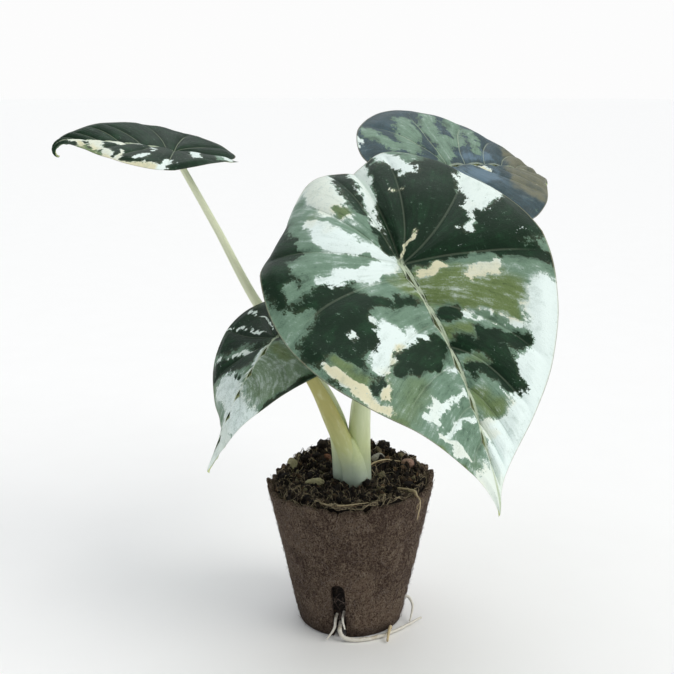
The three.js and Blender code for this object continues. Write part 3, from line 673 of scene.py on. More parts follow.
def bent_place(leaf, ahead, aside, side, lift):
    """Where a flat place of a blade is in the plant, lifted off the blade by a distance."""
    length = leaf["length"]
    walk = np.linspace(-1, 1.05, 411) * length
    angle = np.radians(
        leaf["pitch"]
        + leaf["back"] * np.minimum(walk / length, 0)
        + leaf["droop"] * np.maximum(walk / length, 0) ** 1.5
        + leaf["curl"] * np.clip((walk / length - CURL_START) / (1 - CURL_START), 0, 1) ** 2
    )
    step = walk[1] - walk[0]
    forward = np.concatenate([[0], np.cumsum((np.cos(angle[1:]) + np.cos(angle[:-1])) * step / 2)])
    upward = -np.concatenate([[0], np.cumsum((np.sin(angle[1:]) + np.sin(angle[:-1])) * step / 2)])
    forward -= np.interp(0, walk, forward)
    upward -= np.interp(0, walk, upward)
    steep = np.interp(ahead, walk, angle)[:, None]
    rolled = np.radians(leaf["roll"] + leaf["twist"] * ahead / length)[:, None]
    heading = math.radians(leaf["heading"])
    along = np.array([math.cos(heading), math.sin(heading), 0])
    beside = np.array([-math.sin(heading), math.cos(heading), 0])
    up = np.array([0, 0, 1.0])
    face = np.sin(steep) * along + np.cos(steep) * up
    right = beside * np.cos(rolled) + face * np.sin(rolled)
    face = face * np.cos(rolled) - beside * np.sin(rolled)

    half = 0 if side > 0 else 1
    fold = math.radians(leaf["fold"][half])
    cup = np.radians(leaf["cup"][half] + leaf["lobe_cup"] * np.maximum(-ahead / length, 0))
    cup = cup / (HALF_WIDTH * length * leaf["width"])
    turn = fold + cup * aside
    out = side * (np.sin(turn) - math.sin(fold)) / cup + bow(leaf, ahead)
    rise = (np.cos(turn) - math.cos(fold)) / cup
    spine = (
        CROWN + np.array(leaf["hub"])
        + np.interp(ahead, walk, forward)[:, None] * along
        + np.interp(ahead, walk, upward)[:, None] * up
    )
    leaning = (turn * smooth(0, 3, aside))[:, None]
    normal = face * np.cos(leaning) + side * right * np.sin(leaning)
    return spine + out[:, None] * right + rise[:, None] * face + lift[:, None] * normal


def vein_numbers(side, column, share):
    """Vein numbers of a half's grid columns, crowded at the veins and alike at the midrib."""
    dense = 9 * column - 0.6 * np.sin(2 * math.pi * 9 * column) / (2 * math.pi)
    if side > 0:
        return dense
    starts = np.array(VEINS[1])[:, 0]
    numbers = np.arange(len(starts))
    other = np.array(VEINS[-1])[HUB_VEINS:, 0]
    aligned = np.interp(np.interp(dense, numbers, starts), other, numbers[HUB_VEINS:])
    aligned = np.where(dense <= HUB_VEINS, dense, aligned)
    return mix(aligned, dense, smooth(0, 0.15, share))


def blade_half(bm, leaf, side, under, settings):
    """One half of a blade's upper or under sheet."""
    columns, rows = leaf["grid"]
    verts, column, share = new_grid(bm, columns, rows // 2 if under else rows)
    vein = vein_numbers(side, column, share)
    ahead, aside = flat_place(leaf, vein, share, side)
    rib_ahead, rib_aside = flat_place(leaf, np.rint(vein), share, side)
    rib = np.hypot(ahead - rib_ahead, aside - rib_aside)

    scale = leaf["length"] / 95
    margin = smooth(1, 0.86, share)
    swell = settings.quilting / MM * scale**0.5
    lift = swell * (1 - np.exp(-rib / (3.2 * scale))) * margin
    lift += 0.35 * (1 - np.exp(-aside / (1.2 * scale)))
    wave = noise_at(np.stack([ahead, side * aside, 0 * ahead], axis=1), 15 * scale, seed=leaf["length"])
    lift += 0.9 * scale * wave * smooth(0, 9, aside)
    if under:
        strength = leaf["midrib"] * mix(1, 0.25, np.clip(ahead / leaf["length"], 0, 1))
        keel = 1.5 * strength * np.exp(-((aside / (1.3 * strength)) ** 2)) * smooth(-3, 0, ahead)
        ridge = 0.45 * scale * np.exp(-((rib / (0.8 * scale)) ** 2))
        ridge = ridge * mix(1, 0.2, share) * smooth(0, 3, aside)
        lift -= (settings.thickness / MM + np.maximum(keel, ridge)) * smooth(1, 0.93, share)
    places = bent_place(leaf, ahead, aside, side, lift)
    move(verts, places)

    layers = [bm.verts.layers.float.get(key) for key in LEAF_LAYERS]
    columns_of_values = (ahead, side * aside, rib, vein, share)
    for vert, *values in zip(verts, *columns_of_values):
        for layer, value in zip(layers, values):
            vert[layer] = value
    if under:
        for face in {face for vert in verts for face in vert.link_faces}:
            face.material_index = 1


def painted(name, ahead, aside):
    """Dark share, pale share, tone, warmth and speckle at places given in shares of the length."""
    base = BASE_PAINT[name]
    values = np.tile([base[0] < DARK_TONE, base[0] > PALE_TONE, *base], (len(ahead), 1)).astype(float)
    spots = np.stack([ahead, aside], axis=1)
    soft = PAINT_EDGE * 95 / LEAVES[name]["length"]
    for tone, warmth, speckle, half_width, points in PAINT[name]:
        gap = np.full(len(ahead), 9.0)
        for start, end in zip(np.array(points), np.array(points[1:])):
            way = end - start
            share = np.clip(((spots - start) @ way) / way.dot(way), 0, 1)
            gap = np.minimum(gap, np.linalg.norm(spots - start - share[:, None] * way, axis=1))
        edge = min(soft, 0.8 * half_width)
        cover = smooth(half_width + edge, half_width - edge, gap)[:, None]
        target = np.array([tone < DARK_TONE, tone > PALE_TONE, tone, warmth, speckle], float)
        values += cover * (target - values)
    return values


def read_layer(mesh, name):
    """A vertex layer's numbers."""
    values = np.empty(len(mesh.vertices), np.float32)
    mesh.attributes[name].data.foreach_get("value", values)
    return values


def write_vectors(mesh, name, *columns):
    """Writes three columns of numbers as a vertex attribute."""
    attribute = mesh.attributes.new(name, "FLOAT_VECTOR", "POINT")
    attribute.data.foreach_set("vector", np.stack(columns, axis=1).astype(np.float32).ravel())


def leaf_finish(name, leaf, settings):
    """The upper side: patches with ragged edges, a pale midrib, fine veins and a soft gloss."""
    finish = Finish(f"{name}_upper")
    ahead, aside, rib = finish.attribute("leaf_place")
    dark, pale, tone = finish.attribute("leaf_paint")
    warmth, speckle, _ = finish.attribute("leaf_tint")
    vein, share, _ = finish.attribute("leaf_vein")
    spot = finish.vector(ahead, aside)
    flow = finish.vector(vein * 1.0, share * 1.3)

    ragged = finish.noise(spot, 0.42, 6.0, 0.78) - 0.5
    streaked = finish.noise(finish.stretched(flow, (11.0, 3.4, 1.0)), 1.0, 4.0, 0.65) - 0.5
    fine = finish.noise(spot, 1.9, 3.0, 0.7) - 0.5
    cloud = finish.noise(spot, 0.14, 3.0, 0.6) - 0.5
    blot = finish.noise(finish.vector(ahead, aside, 5.0), 0.5, 5.0, 0.7) - 0.5

    dark_mask = (dark + ragged * 2.3 + streaked * 1.1 - fine * 0.7).step(0.46, 0.54)
    pale_mask = (pale - ragged * 2.3 + streaked * 1.1 + fine * 0.8).step(0.46, 0.54)
    freckles = (blot + fine * 0.5 + speckle * 0.14).step(0.2, 0.24)
    dusting = (fine * 0.9 + blot * 0.9 + speckle * 0.16).step(0.2, 0.27)

    middle = finish.blend(warmth.step(0.25, 0.95), settings.grey, settings.olive)
    lightness = (tone - 0.48) * 1.5 + cloud * 1.1 + streaked * 1.9 + fine * 0.9 + blot * 0.6
    middle = finish.blend(lightness.step(0, 0.8) * 0.6, middle, settings.mint)
    middle = finish.blend((0 - lightness).step(0, 0.7) * 0.6, middle, settings.dark)
    light = finish.blend(warmth.step(0.1, 0.9), settings.mint, settings.cream)
    light = finish.blend((cloud + streaked + fine * 0.6).step(0, 0.4) * 0.35, light, settings.grey)
    if name == "back":
        misty = (cloud * 1.2 + streaked + fine).step(-0.2, 0.4)
        deep = finish.blend(misty, settings.blue, linear("3d565f"))
        # painted sheen: the bluish sky reflection, painted where warmth is below 0 and patchily by noise
        deep = finish.blend((cloud + streaked - warmth).step(0.1, 1.1), deep, settings.painted_sky_sheen)
        deep = finish.blend((cloud + streaked + warmth).step(0.25, 0.9), deep, linear("6b6b54"))
    else:
        deep = finish.blend(
            (cloud * 1.2 + streaked + fine * 0.5).step(-0.1, 0.4) * 0.6, settings.dark, settings.deep
        )
        deep = finish.blend(((tone - 0.1) * 5).step(0, 1) * warmth, deep, linear("585c45"))

    colour = finish.blend(dark_mask * (1 - freckles), middle, deep)
    colour = finish.blend(pale_mask * (1 - dusting * 0.75), colour, light)

    reach = ahead / leaf["length"]
    half_midrib = (1 - reach.step(0, 1) * 0.62) * leaf["midrib"]
    on_midrib = (half_midrib - abs(aside) + fine * 0.8).step(-0.15, 0.35) * reach.step(-0.04, 0.0)
    lengthwise = finish.stretched(spot, (0.25, 1.6, 1.0))
    slits = finish.noise(lengthwise, 1.0, 1.0).step(0.54, 0.58)
    slits = slits * (half_midrib * 1.35 - abs(aside)).step(0, 0.25) * (1 - reach.step(0.35, 0.6))
    colour = finish.blend(on_midrib * (0.4 if name == "back" else 0.9), colour, settings.midrib)
    slits = slits * abs(aside).step(0.25, 0.7) * reach.step(-0.1, -0.02)
    colour = finish.blend(slits * (0.9 if name == "front" else 0.0), colour, settings.dark)
    main_vein = (0.42 * leaf["length"] / 95 + 0.12 - rib).step(0, 0.3) * (1 - share.step(0.6, 0.95))
    colour = finish.blend(main_vein * (0.4 if name in ("back", "high") else 0.1), colour, settings.midrib)
    rim = (share + fine * 0.01).step(0.988, 0.994)
    colour = finish.blend(rim * 0.3, colour, settings.cream)

    small_veins = (vein * 40 + (ragged + cloud) * 9).sine() * 0.5
    height = small_veins * 0.16 * rib.step(0.3, 2.0) + fine * 0.8 + blot * 0.9 + streaked * 0.8
    height = height - main_vein * 1.1
    normal = finish.bump(height, 0.0004, 0.5)
    gloss = 0.4 + pale_mask * 0.1 + fine * 0.2
    return finish.done(colour, gloss, normal, **{"Specular IOR Level": 0.35 if name == "back" else 0.16})


def underside_finish(name, settings):
    """The dull paler under side with raised veins."""
    finish = Finish(f"{name}_under")
    ahead, aside, rib = finish.attribute("leaf_place")
    dark, pale, _ = finish.attribute("leaf_paint")
    _, share, _ = finish.attribute("leaf_vein")
    spot = finish.vector(ahead, aside)
    fine = finish.noise(spot, 1.6, 3.0, 0.6)
    edge = (finish.noise(spot, 0.5, 3.0, 0.6) - 0.5) * 0.8
    colour = finish.blend((dark + edge).step(0.3, 0.75), settings.underside, linear("56705a"))
    colour = finish.blend((pale - edge).step(0.3, 0.75), colour, linear("cfd8bd"))
    colour = finish.blend(fine * 0.25, colour, linear("6d7f5c"))
    on_vein = (0.7 - rib).step(0, 0.4) * (1 - share.step(0.6, 1.0)) * 0.6
    colour = finish.blend(on_vein.larger((1.3 - abs(aside)).step(0, 0.4)), colour, settings.stalk)
    normal = finish.bump(fine, 0.0004, 0.6)
    return finish.done(colour, 0.62 + (fine - 0.5) * 0.1, normal)


def build_leaf(name):
    """One leaf blade, closed, with its paint in vertex attributes."""
    settings = bpy.context.scene.alocasia_leaves
    leaf = LEAVES[name]
    bm = bmesh.new()
    for key in LEAF_LAYERS:
        bm.verts.layers.float.new(key)
    for side in (1, -1):
        for under in (False, True):
            blade_half(bm, leaf, side, under, settings)
    finishes = [leaf_finish(name, leaf, settings), underside_finish(name, settings)]
    thing = piece(f"leaf_{name}", bm, finishes, [f"blade_{name}"], weld=0.004)

    mesh = thing.data
    ahead, aside, rib, vein, share = (read_layer(mesh, key) for key in LEAF_LAYERS)
    flat = np.stack([ahead, aside, 0 * ahead], axis=1)
    length = leaf["length"]
    shift = (0.036 if name == "back" else 0.023) * length
    wander = shift * noise_at(flat, 0.045 * length, 1, 3), shift * noise_at(flat, 0.045 * length, 2, 3)
    values = painted(name, (ahead + wander[0]) / length, (aside + wander[1]) / length)
    write_vectors(mesh, "leaf_place", ahead, aside, rib)
    write_vectors(mesh, "leaf_paint", values[:, 0], values[:, 1], values[:, 2])
    write_vectors(mesh, "leaf_tint", values[:, 3], values[:, 4], 0 * ahead)
    write_vectors(mesh, "leaf_vein", vein, share, 0 * ahead)
    for key in LEAF_LAYERS:
        mesh.attributes.remove(mesh.attributes[key])
    return thing


# ---------------------------------------------------------------- stalks

# Colour of each stalk well above its foot. The low stalk's darker olive is partly its own colour and partly
# painted shade from the leaf above it.
STALK_TOPS = {"low": "b5ab62", "front": "dfe8c0", "high": "dfe3c6", "back": "cdd5a5", "sheath": "c3cb9c"}


def stalk_finish(name, settings):
    """Satin stalk: silvery foot, yellow-green above, with fine streaks along it."""
    finish = Finish(f"stalk_{name}")
    place = finish.place()
    height = finish.node("SeparateXYZ", values={0: place}, output=2) * (1 / MM) - RIM_HEIGHT
    along = finish.number("along")
    around = finish.number("around")
    streak = finish.noise(finish.vector(along * 9, around * 9.0), 1.0, 3.0, 0.6)
    cloud = finish.noise(place, 90.0, 3.0, 0.6)
    colour = finish.blend(height.step(4, 30) * 0.9, settings.stalk, linear(STALK_TOPS[name]))
    colour = finish.blend((streak - 0.5).step(0, 0.3) * 0.4, colour, linear("eef2cf"))
    colour = finish.blend((0.5 - streak).step(0, 0.3) * 0.35, colour, linear("8f9a55"))
    colour = finish.blend((0 - height + (cloud - 0.5) * 9).step(-15, 1) * 0.9, colour, settings.foot)
    colour = finish.blend((0 - height + (cloud - 0.5) * 8).step(-3, 3) * 0.55, colour, linear("5f6a5c"))
    normal = finish.bump(streak + cloud * 0.6, 0.0003, 0.5)
    return finish.done(colour, 0.4 + (cloud - 0.5) * 0.2, normal)


def stalk_strand(bm, path, radii, section=None):
    """A strand that keeps its shares along and around for the finish."""
    layers = [bm.verts.layers.float.new(key) for key in ("along", "around")]
    verts, along, angle = strand(bm, path, radii, 28, section)
    for vert, *values in zip(verts, along, angle / (2 * math.pi)):
        for layer, value in zip(layers, values):
            vert[layer] = value


def build_stalk(name):
    """One stalk with shallow ribs, from inside the soil to the hub of its blade."""
    settings = bpy.context.scene.alocasia_leaves
    leaf = LEAVES[name]
    path = smooth_path([*leaf["stalk"], leaf["hub"]], 90) + CROWN
    bm = bmesh.new()

    def ribbed(along, angle):
        ribs = 0.018 * np.sin(7 * angle + 2 * along) + 0.01 * np.sin(13 * angle + 1)
        return 1 + ribs * smooth(0.1, 0.3, along)

    stalk_strand(bm, path, leaf["radii"], ribbed)
    return piece(f"stalk_{name}", bm, [stalk_finish(name, settings)], [f"petiole_{name}"])


def build_sheath():
    """The sheath that wraps the feet of the front stalk and the low one."""
    settings = bpy.context.scene.alocasia_leaves
    path = smooth_path([(2.3, -1, -7), (2.1, -1.5, 2), (0.6, -2, 10), (-0.9, -2.4, 17)], 60) + CROWN
    bm = bmesh.new()
    stalk_strand(bm, path, (4.2, 4.2, 3.7, 1.6))
    return piece("stalk_sheath", bm, [stalk_finish("sheath", settings)])


# ---------------------------------------------------------------- pot


POT_SIDES = 260
OUTER_ROWS = 96  # rows of the profile from the middle of the base to the inner edge of the rim
CUTTER_START = 6  # how far inside the base's edge a slot's cutter begins
CUTTER_REACH = 14


def outer_radius(height):
    """Radius of the wall's outer face at a height."""
    return mix(POT["base"], POT["top"], height / POT["height"])


def inner_radius(height):
    """Radius of the wall's inner face at a height."""
    return outer_radius(height) - POT["wall"]


def rim_lift(azimuth):
    """How far the crumbled rim rises round the pot."""
    return POT["wave"] * (np.cos(azimuth) + 0.25 * np.sin(5 * azimuth))


def slot_azimuth(k):
    """Direction of a drainage slot in radians."""
    return math.radians(-90 + SLOT["turn"] + 360 * k / SLOT["count"])


def pot_profile():
    """Radius and height from the middle of the base, over the rim, to the middle of the floor inside."""
    top, base, height, wall, edge = (POT[key] for key in ("top", "base", "height", "wall", "edge"))
    profile = [(base * share, 0) for share in (0, 0.3, 0.6, 0.85)]
    profile += [(base - edge, 0), (base - 0.25 * edge, 0.25 * edge)]
    profile += [(outer_radius(z), z) for z in np.linspace(edge, height - edge, 86)]
    profile += [(top - 0.3 * edge, height - 0.3 * edge), (top - wall / 3, height)]
    profile += [(top - 2 * wall / 3, height), (top - wall + 0.2 * edge, height - 0.3 * edge)]
    profile += [(inner_radius(z), z) for z in np.linspace(height - edge, POT["floor"] + edge, 24)]
    profile += [(inner_radius(POT["floor"]) - edge, POT["floor"]), (8, POT["floor"]), (0, POT["floor"])]
    return np.array(profile)


def felt_finish(settings):
    """Felted fibre: matted light fibres over a dark ground, darker towards the base."""
    finish = Finish("pot_felt")
    place = finish.place()
    height = finish.node("SeparateXYZ", values={0: place}, output=2) * (1 / MM)
    mats = finish.noise(finish.stretched(place, (1.0, 1.0, 0.55)), 1000.0, 5.0, 0.75, 1.2)
    grain = finish.noise(place, 2600.0, 3.0, 0.8)
    patch = finish.noise(place, 70.0, 4.0, 0.6)
    pits = finish.cells(place, 900.0)
    light = (mats * 0.6 + grain * 0.8 + (patch - 0.5) * 0.4).step(0.6, 0.86)
    colour = finish.blend(light, settings.felt, settings.fibre)
    colour = finish.blend((patch - 0.48).step(0, 0.25) * 0.4, colour, linear("4a3026"))
    # darker towards the base
    colour = finish.blend(height.step(6, 0) * 0.5, colour, linear("221813"))
    colour = finish.blend((0.5 - patch).step(0.02, 0.3) * 0.35, colour, linear("7f7061"))
    colour = finish.blend((0.5 - grain).step(0.02, 0.16) * 0.65, colour, linear("1c120d"))
    normal = finish.bump(mats + grain * 0.7 + pits * 0.4, 0.0011, 1.0)
    return finish.done(colour, 0.95, normal, **{"Specular IOR Level": 0.2})


def slot_cutter():
    """The bars that cut the drainage slots out of the wall, with ragged round tops."""
    cutter = bmesh.new()
    for k in range(SLOT["count"]):
        azimuth = slot_azimuth(k)
        inside = outer_radius(0) - CUTTER_START
        verts, out, turn = new_grid(cutter, 6, 40)
        angle = full_circle(turn)
        ring = np.stack([3 * np.cos(angle), 3 * np.sin(angle), 0 * angle + k], axis=1)
        ragged = 1 + 0.1 * noise_at(ring, 1.3, 8, 2)
        half = SLOT["width"] / 2 * ragged
        cosine, sine = np.cos(angle), np.sin(angle)
        aside = half * np.sign(cosine) * np.abs(cosine) ** np.where(sine < 0, 0.1, 1)
        high = SLOT["height"] - SLOT["width"] / 2
        up = np.where(sine > 0, high + half * sine, -2 + (high + 2) * (1 + sine))
        closed = (out > 0.01) & (out < 0.99)
        aside = np.where(closed, aside, 0)
        up = np.where(closed, up, high / 2)
        reach = inside + CUTTER_REACH * np.clip((out - 1 / 6) * 1.5, 0, 1)
        direction = np.array([math.cos(azimuth), math.sin(azimuth), 0])
        sideways = np.array([-math.sin(azimuth), math.cos(azimuth), 0])
        flat = reach[:, None] * direction + aside[:, None] * sideways
        move(verts, flat + up[:, None] * np.array([0, 0, 1]))
    bmesh.ops.remove_doubles(cutter, verts=cutter.verts, dist=0.0005)
    bmesh.ops.recalc_face_normals(cutter, faces=cutter.faces)
    bmesh.ops.scale(cutter, vec=(MM, MM, MM), verts=cutter.verts)
    tool_mesh = bpy.data.meshes.new("slot_cutter")
    cutter.to_mesh(tool_mesh)
    cutter.free()
    tool = bpy.data.objects.new("slot_cutter", tool_mesh)
    bpy.context.scene.collection.objects.link(tool)
    return tool


def build_pot():
    """The felted wall with its crumbled rim, pierced by the drainage slots."""
    settings = bpy.context.scene.alocasia_pot
    profile = pot_profile()
    bm = bmesh.new()
    verts, row, angle = turned_grid(bm, profile, POT_SIDES)
    radius, height = profile[row].T
    outside = (row < OUTER_ROWS).astype(float)
    places = np.stack([radius * np.cos(angle), radius * np.sin(angle), height], axis=1)
    depth = settings.roughness / MM
    felt = 0.9 * noise_at(places, 5, 1, 3) + 0.6 * noise_at(places, 1.4, 2, 2)
    torn = noise_at(np.stack([30 * np.cos(angle), 30 * np.sin(angle), 0 * angle], axis=1), 3.2, 3, 3)
    frayed = smooth(POT["height"] * 0.9, POT["height"], height)
    grow = depth * felt * smooth(0, 2, height) * mix(0.5, 1, outside) + 0.8 * torn * frayed * outside
    radius = radius + grow * (radius > 10)
    lift = rim_lift(angle) * smooth(POT["height"] / 2, POT["height"], height)
    height = height + lift + (1.7 * torn + 0.5 * noise_at(places, 1.1, 5, 2)) * frayed
    move(verts, np.stack([radius * np.cos(angle), radius * np.sin(angle), height], axis=1))
    pot = piece("pot_wall", bm, [felt_finish(settings)], ["pot"])

    tool = slot_cutter()
    cut = pot.modifiers.new("slots", "BOOLEAN")
    cut.operation = "DIFFERENCE"
    cut.solver = "EXACT"
    cut.object = tool
    graph = bpy.context.evaluated_depsgraph_get()
    pierced = bpy.data.meshes.new_from_object(pot.evaluated_get(graph), depsgraph=graph)
    pot.modifiers.clear()
    pot.data = pierced
    bpy.data.objects.remove(tool)
    return pot


def fibre_finish(name, light, dark):
    """Fine dry fibres, each with its own shade."""
    finish = Finish(name)
    grain = finish.noise(finish.place(), 1500.0, 2.0)
    shade = finish.number("tint")
    colour = finish.blend((shade + (grain - 0.5) * 0.4).step(0, 1), dark, light)
    return finish.done(colour, 0.85, finish.bump(grain, 0.0002, 0.4))


def build_pot_fibres():
    """Loose fibres that lie on the wall and the rim and stand off a little."""
    settings = bpy.context.scene.alocasia_pot
    draw = random.Random(11)
    bm = bmesh.new()
    tint_layer(bm)
    for _ in range(settings.fibres):
        azimuth = draw.uniform(0, 2 * math.pi)
        height = POT["height"] * draw.betavariate(1.3, 1.0)
        length = draw.uniform(1.5, 6)
        lean = draw.uniform(-1, 1) * math.pi
        bend = draw.uniform(-1.2, 1.2)
        stand = draw.uniform(0.1, 0.9) * (2.0 if draw.random() < 0.12 else 1)
        points = []
        for k in range(6):
            share = k / 5 - 0.5
            turn = lean + bend * share
            z = height + length * share * math.sin(turn)
            z = min(max(z, 0.4), POT["height"] + 0.6)
            angle = azimuth + length * share * math.cos(turn) / outer_radius(z)
            lift = rim_lift(angle) * float(smooth(POT["height"] / 2, POT["height"], z))
            radius = outer_radius(z) + 0.12 + stand * (2 * share) ** 2 * 0.8
            points.append((radius * math.cos(angle), radius * math.sin(angle), max(z + lift, 0.3)))
        verts = strand(bm, np.array(points), [draw.uniform(0.025, 0.06)], 3)[0]
        tint(bm, verts, draw.random())
    finish = fibre_finish("pot_fibre", linear("85776d"), linear("4a382f"))
    return piece("pot_fibres", bm, [finish])


# ---------------------------------------------------------------- soil


SOIL_SIDES = 200
WALL_GAP = 0.5  # from the wall to the soil and to what lies on it
FIBRE_GAP = 0.6
SOIL_FIBRES = 950
STALK_ARCS = 10  # fibres that curl beside the stalks
RIM_ARCS = 22  # fibres that follow the rim at the front
FIBRE_STEPS = 8
MAP_REACH = 32
MAP_STEP = 0.4


def soil_top(x, y):
    """Height of the soil's surface."""
    share = np.hypot(x, y) / inner_radius(POT["height"])
    azimuth = np.arctan2(y, x)
    lumps = np.sin(0.55 * x + 1) * np.cos(0.6 * y) + 0.6 * np.sin(0.95 * x - 0.8 * y)
    heap = SOIL["heap"] * np.maximum(0, np.sin(azimuth)) * share**2 * (1 - share**6)
    mound = SOIL["mound"] * (1 - share**2)
    top = POT["height"] - SOIL["sunk"] + mound + heap + SOIL["lump"] * lumps
    return top + rim_lift(azimuth) * share**2


def soil_finish(settings):
    """Damp potting mix with dry husk and light grit."""
    finish = Finish("soil_mix")
    place = finish.place()
    lumps = finish.noise(place, 500.0, 4.0, 0.7)
    grit = finish.cells(place, 1400.0)
    bits = finish.noise(finish.stretched(place, (1.0, 0.6, 1.0)), 420.0, 3.0, 0.6)
    shade = finish.number("tint")
    colour = finish.blend((lumps + shade * 0.35).step(0.46, 1.0), settings.soil, linear("3f3427"))
    colour = finish.blend((bits + shade * 0.25).step(0.62, 0.8) * 0.75, colour, settings.husk)
    colour = finish.blend(shade.step(0.72, 0.9) * 0.7, colour, linear("77725a"))
    gritty = (0.16 - grit).step(0, 0.1) * lumps.step(0.55, 0.6) * 0.7
    colour = finish.blend(gritty, colour, linear("a08b68"))
    normal = finish.bump(lumps + grit * 0.4, 0.0009, 0.9)
    return finish.done(colour, 0.92, normal, **{"Specular IOR Level": 0.25})


def rough_top(x, y):
    """The soil's surface, with clods banked up along the rim and highest at the back."""
    share = np.hypot(x, y) / inner_radius(POT["height"])
    azimuth = np.arctan2(y, x)
    flat = np.stack([x, y, 0 * x], axis=-1).reshape(-1, 3)
    clods = noise_at(flat, 5.2, 4, 3).reshape(np.shape(x))
    behind = np.maximum(0, np.sin(azimuth - 0.35))
    bank = smooth(0.6, 0.97, share) * (0.4 + 2.2 * behind)
    return soil_top(x, y) + bank * (1 + 1.3 * clods) + (0.9 + 0.9 * behind) * clods


def soil_map():
    """Heights of the soil's surface over a square grid of places."""
    line = np.arange(-MAP_REACH, MAP_REACH + MAP_STEP / 2, MAP_STEP)
    return rough_top(*np.meshgrid(line, line, indexing="ij"))


def map_height(heights, x, y):
    """Height of the surface at one place, read from the map."""
    column, row = (x + MAP_REACH) / MAP_STEP, (y + MAP_REACH) / MAP_STEP
    i, j = int(column), int(row)
    near = mix(heights[i, j], heights[i + 1, j], column - i)
    far = mix(heights[i, j + 1], heights[i + 1, j + 1], column - i)
    return float(mix(near, far, row - j))


def build_soil():
    """The packed body of soil with its rough surface."""
    settings = bpy.context.scene.alocasia_pot
    bm = bmesh.new()
    tint_layer(bm)
    floor = POT["floor"] + 0.4
    widest = inner_radius(POT["height"]) - 0.3
    profile = [(0, 0), (0.5, 0), (1, 0)] + [(1, rise) for rise in np.linspace(0.1, 0.96, 14)]
    profile += [(share, 1) for share in np.linspace(0.985, 0, 58)]
    profile = np.array(profile)
    verts, row, angle = turned_grid(bm, profile, SOIL_SIDES)
    share, rise = profile[row].T
    x, y = share * widest * np.cos(angle), share * widest * np.sin(angle)
    flat = np.stack([x, y, 0 * x], axis=1)
    top = rough_top(x, y) + 0.6 * noise_at(flat, 1.2, 5, 3)
    z = mix(floor, top, rise)
    radius = share * (inner_radius(np.minimum(z, POT["height"] - 1)) - WALL_GAP)
    grain = 0.25 * noise_at(np.stack([x, y, z], axis=1), 1.5, 6, 2)
    radius = radius + np.where((rise > 0) & (rise < 1), grain - 0.2, 0)
    move(verts, np.stack([radius * np.cos(angle), radius * np.sin(angle), z], axis=1))
    return piece("soil_body", bm, [soil_finish(settings)], ["soil"])


def on_soil(draw, heights, inner=0.0, outer=0.97):
    """A random place on the soil, as x, y and the surface's height."""
    share = math.sqrt(draw.uniform(inner**2, outer**2))
    azimuth = draw.uniform(0, 2 * math.pi)
    x = share * (inner_radius(POT["height"]) - WALL_GAP) * math.cos(azimuth)
    y = share * (inner_radius(POT["height"]) - WALL_GAP) * math.sin(azimuth)
    return x, y, map_height(heights, x, y)


def build_crumbs():
    """Crumbs and husk pieces scattered over the soil, thicker along the rim."""
    settings = bpy.context.scene.alocasia_pot
    draw = random.Random(5)
    heights = soil_map()
    bm = bmesh.new()
    tint_layer(bm)
    for k in range(settings.crumbs):
        x, y, z = on_soil(draw, heights, 0.62 if k % 3 == 0 else 0.0)
        size = 0.2 + 1.1 * draw.random() ** 4
        if y > 8 and k % 24 == 0:
            size = draw.uniform(1, 1.9)
        verts = bmesh.ops.create_icosphere(bm, subdivisions=2 if size > 0.5 else 1, radius=1)["verts"]
        stretch = [size * draw.uniform(0.5, 1.4) for _ in range(3)]
        turn = draw.uniform(0, 6.28)
        cosine, sine = math.cos(turn), math.sin(turn)
        for vert in verts:
            bump = 1 + 0.8 * noise.noise(vert.co * 2.1 + Vector((k, 0, 0)))
            a, b, c = (value * reach * bump for value, reach in zip(vert.co, stretch))
            vert.co = (x + a * cosine - b * sine, y + a * sine + b * cosine, z + c + 0.2 * size)
        tint(bm, verts, draw.random() ** 2)
    return piece("soil_crumbs", bm, [soil_finish(settings)])


def build_soil_fibres():
    """Coir threads and rootlets lying over the soil and the rim."""
    draw = random.Random(23)
    heights = soil_map()
    bm = bmesh.new()
    tint_layer(bm)
    widest = inner_radius(POT["height"]) - FIBRE_GAP
    for k in range(SOIL_FIBRES):
        x, y, _ = on_soil(draw, heights, 0.7 if k % 2 else 0.1, 1.0)
        heading = draw.uniform(0, 2 * math.pi)
        bend = draw.uniform(-0.5, 0.5)
        length = draw.uniform(2, 11)
        is_arc = k < RIM_ARCS + STALK_ARCS
        if is_arc:
            by_stalk = k < STALK_ARCS
            azimuth = draw.uniform(-0.7, 0.5) if by_stalk else draw.uniform(-2.5, -1)
            reach = POT["top"] * (draw.uniform(0.3, 0.65) if by_stalk else draw.uniform(0.84, 0.95))
            x, y = reach * math.cos(azimuth), reach * math.sin(azimuth)
            heading = azimuth + math.pi / 2 + draw.uniform(-0.5, 0.5)
            bend = draw.uniform(0.1, 0.35)
            length = draw.uniform(8, 16)
        points = []
        for step in range(FIBRE_STEPS + 1):
            lift = 0.4 + 1.3 * math.sin(step * 1.3 + k) * draw.uniform(0.2, 1)
            radius = math.hypot(x, y)
            if radius > widest:
                x, y = (value * widest / radius for value in (x, y))
            points.append((x, y, map_height(heights, x, y) + max(lift, 0.1)))
            x += length / FIBRE_STEPS * math.cos(heading)
            y += length / FIBRE_STEPS * math.sin(heading)
            heading += bend
        path = smooth_path(points, 14)
        verts = strand(bm, path, [draw.uniform(0.04, 0.13), 0.04], 4)[0]
        tint(bm, verts, 1.4 if is_arc else draw.random() ** 1.5)
    finish = fibre_finish("soil_fibre", linear("b8a88a"), linear("3a2a1e"))
    return piece("soil_fibres", bm, [finish])


# ---------------------------------------------------------------- stones

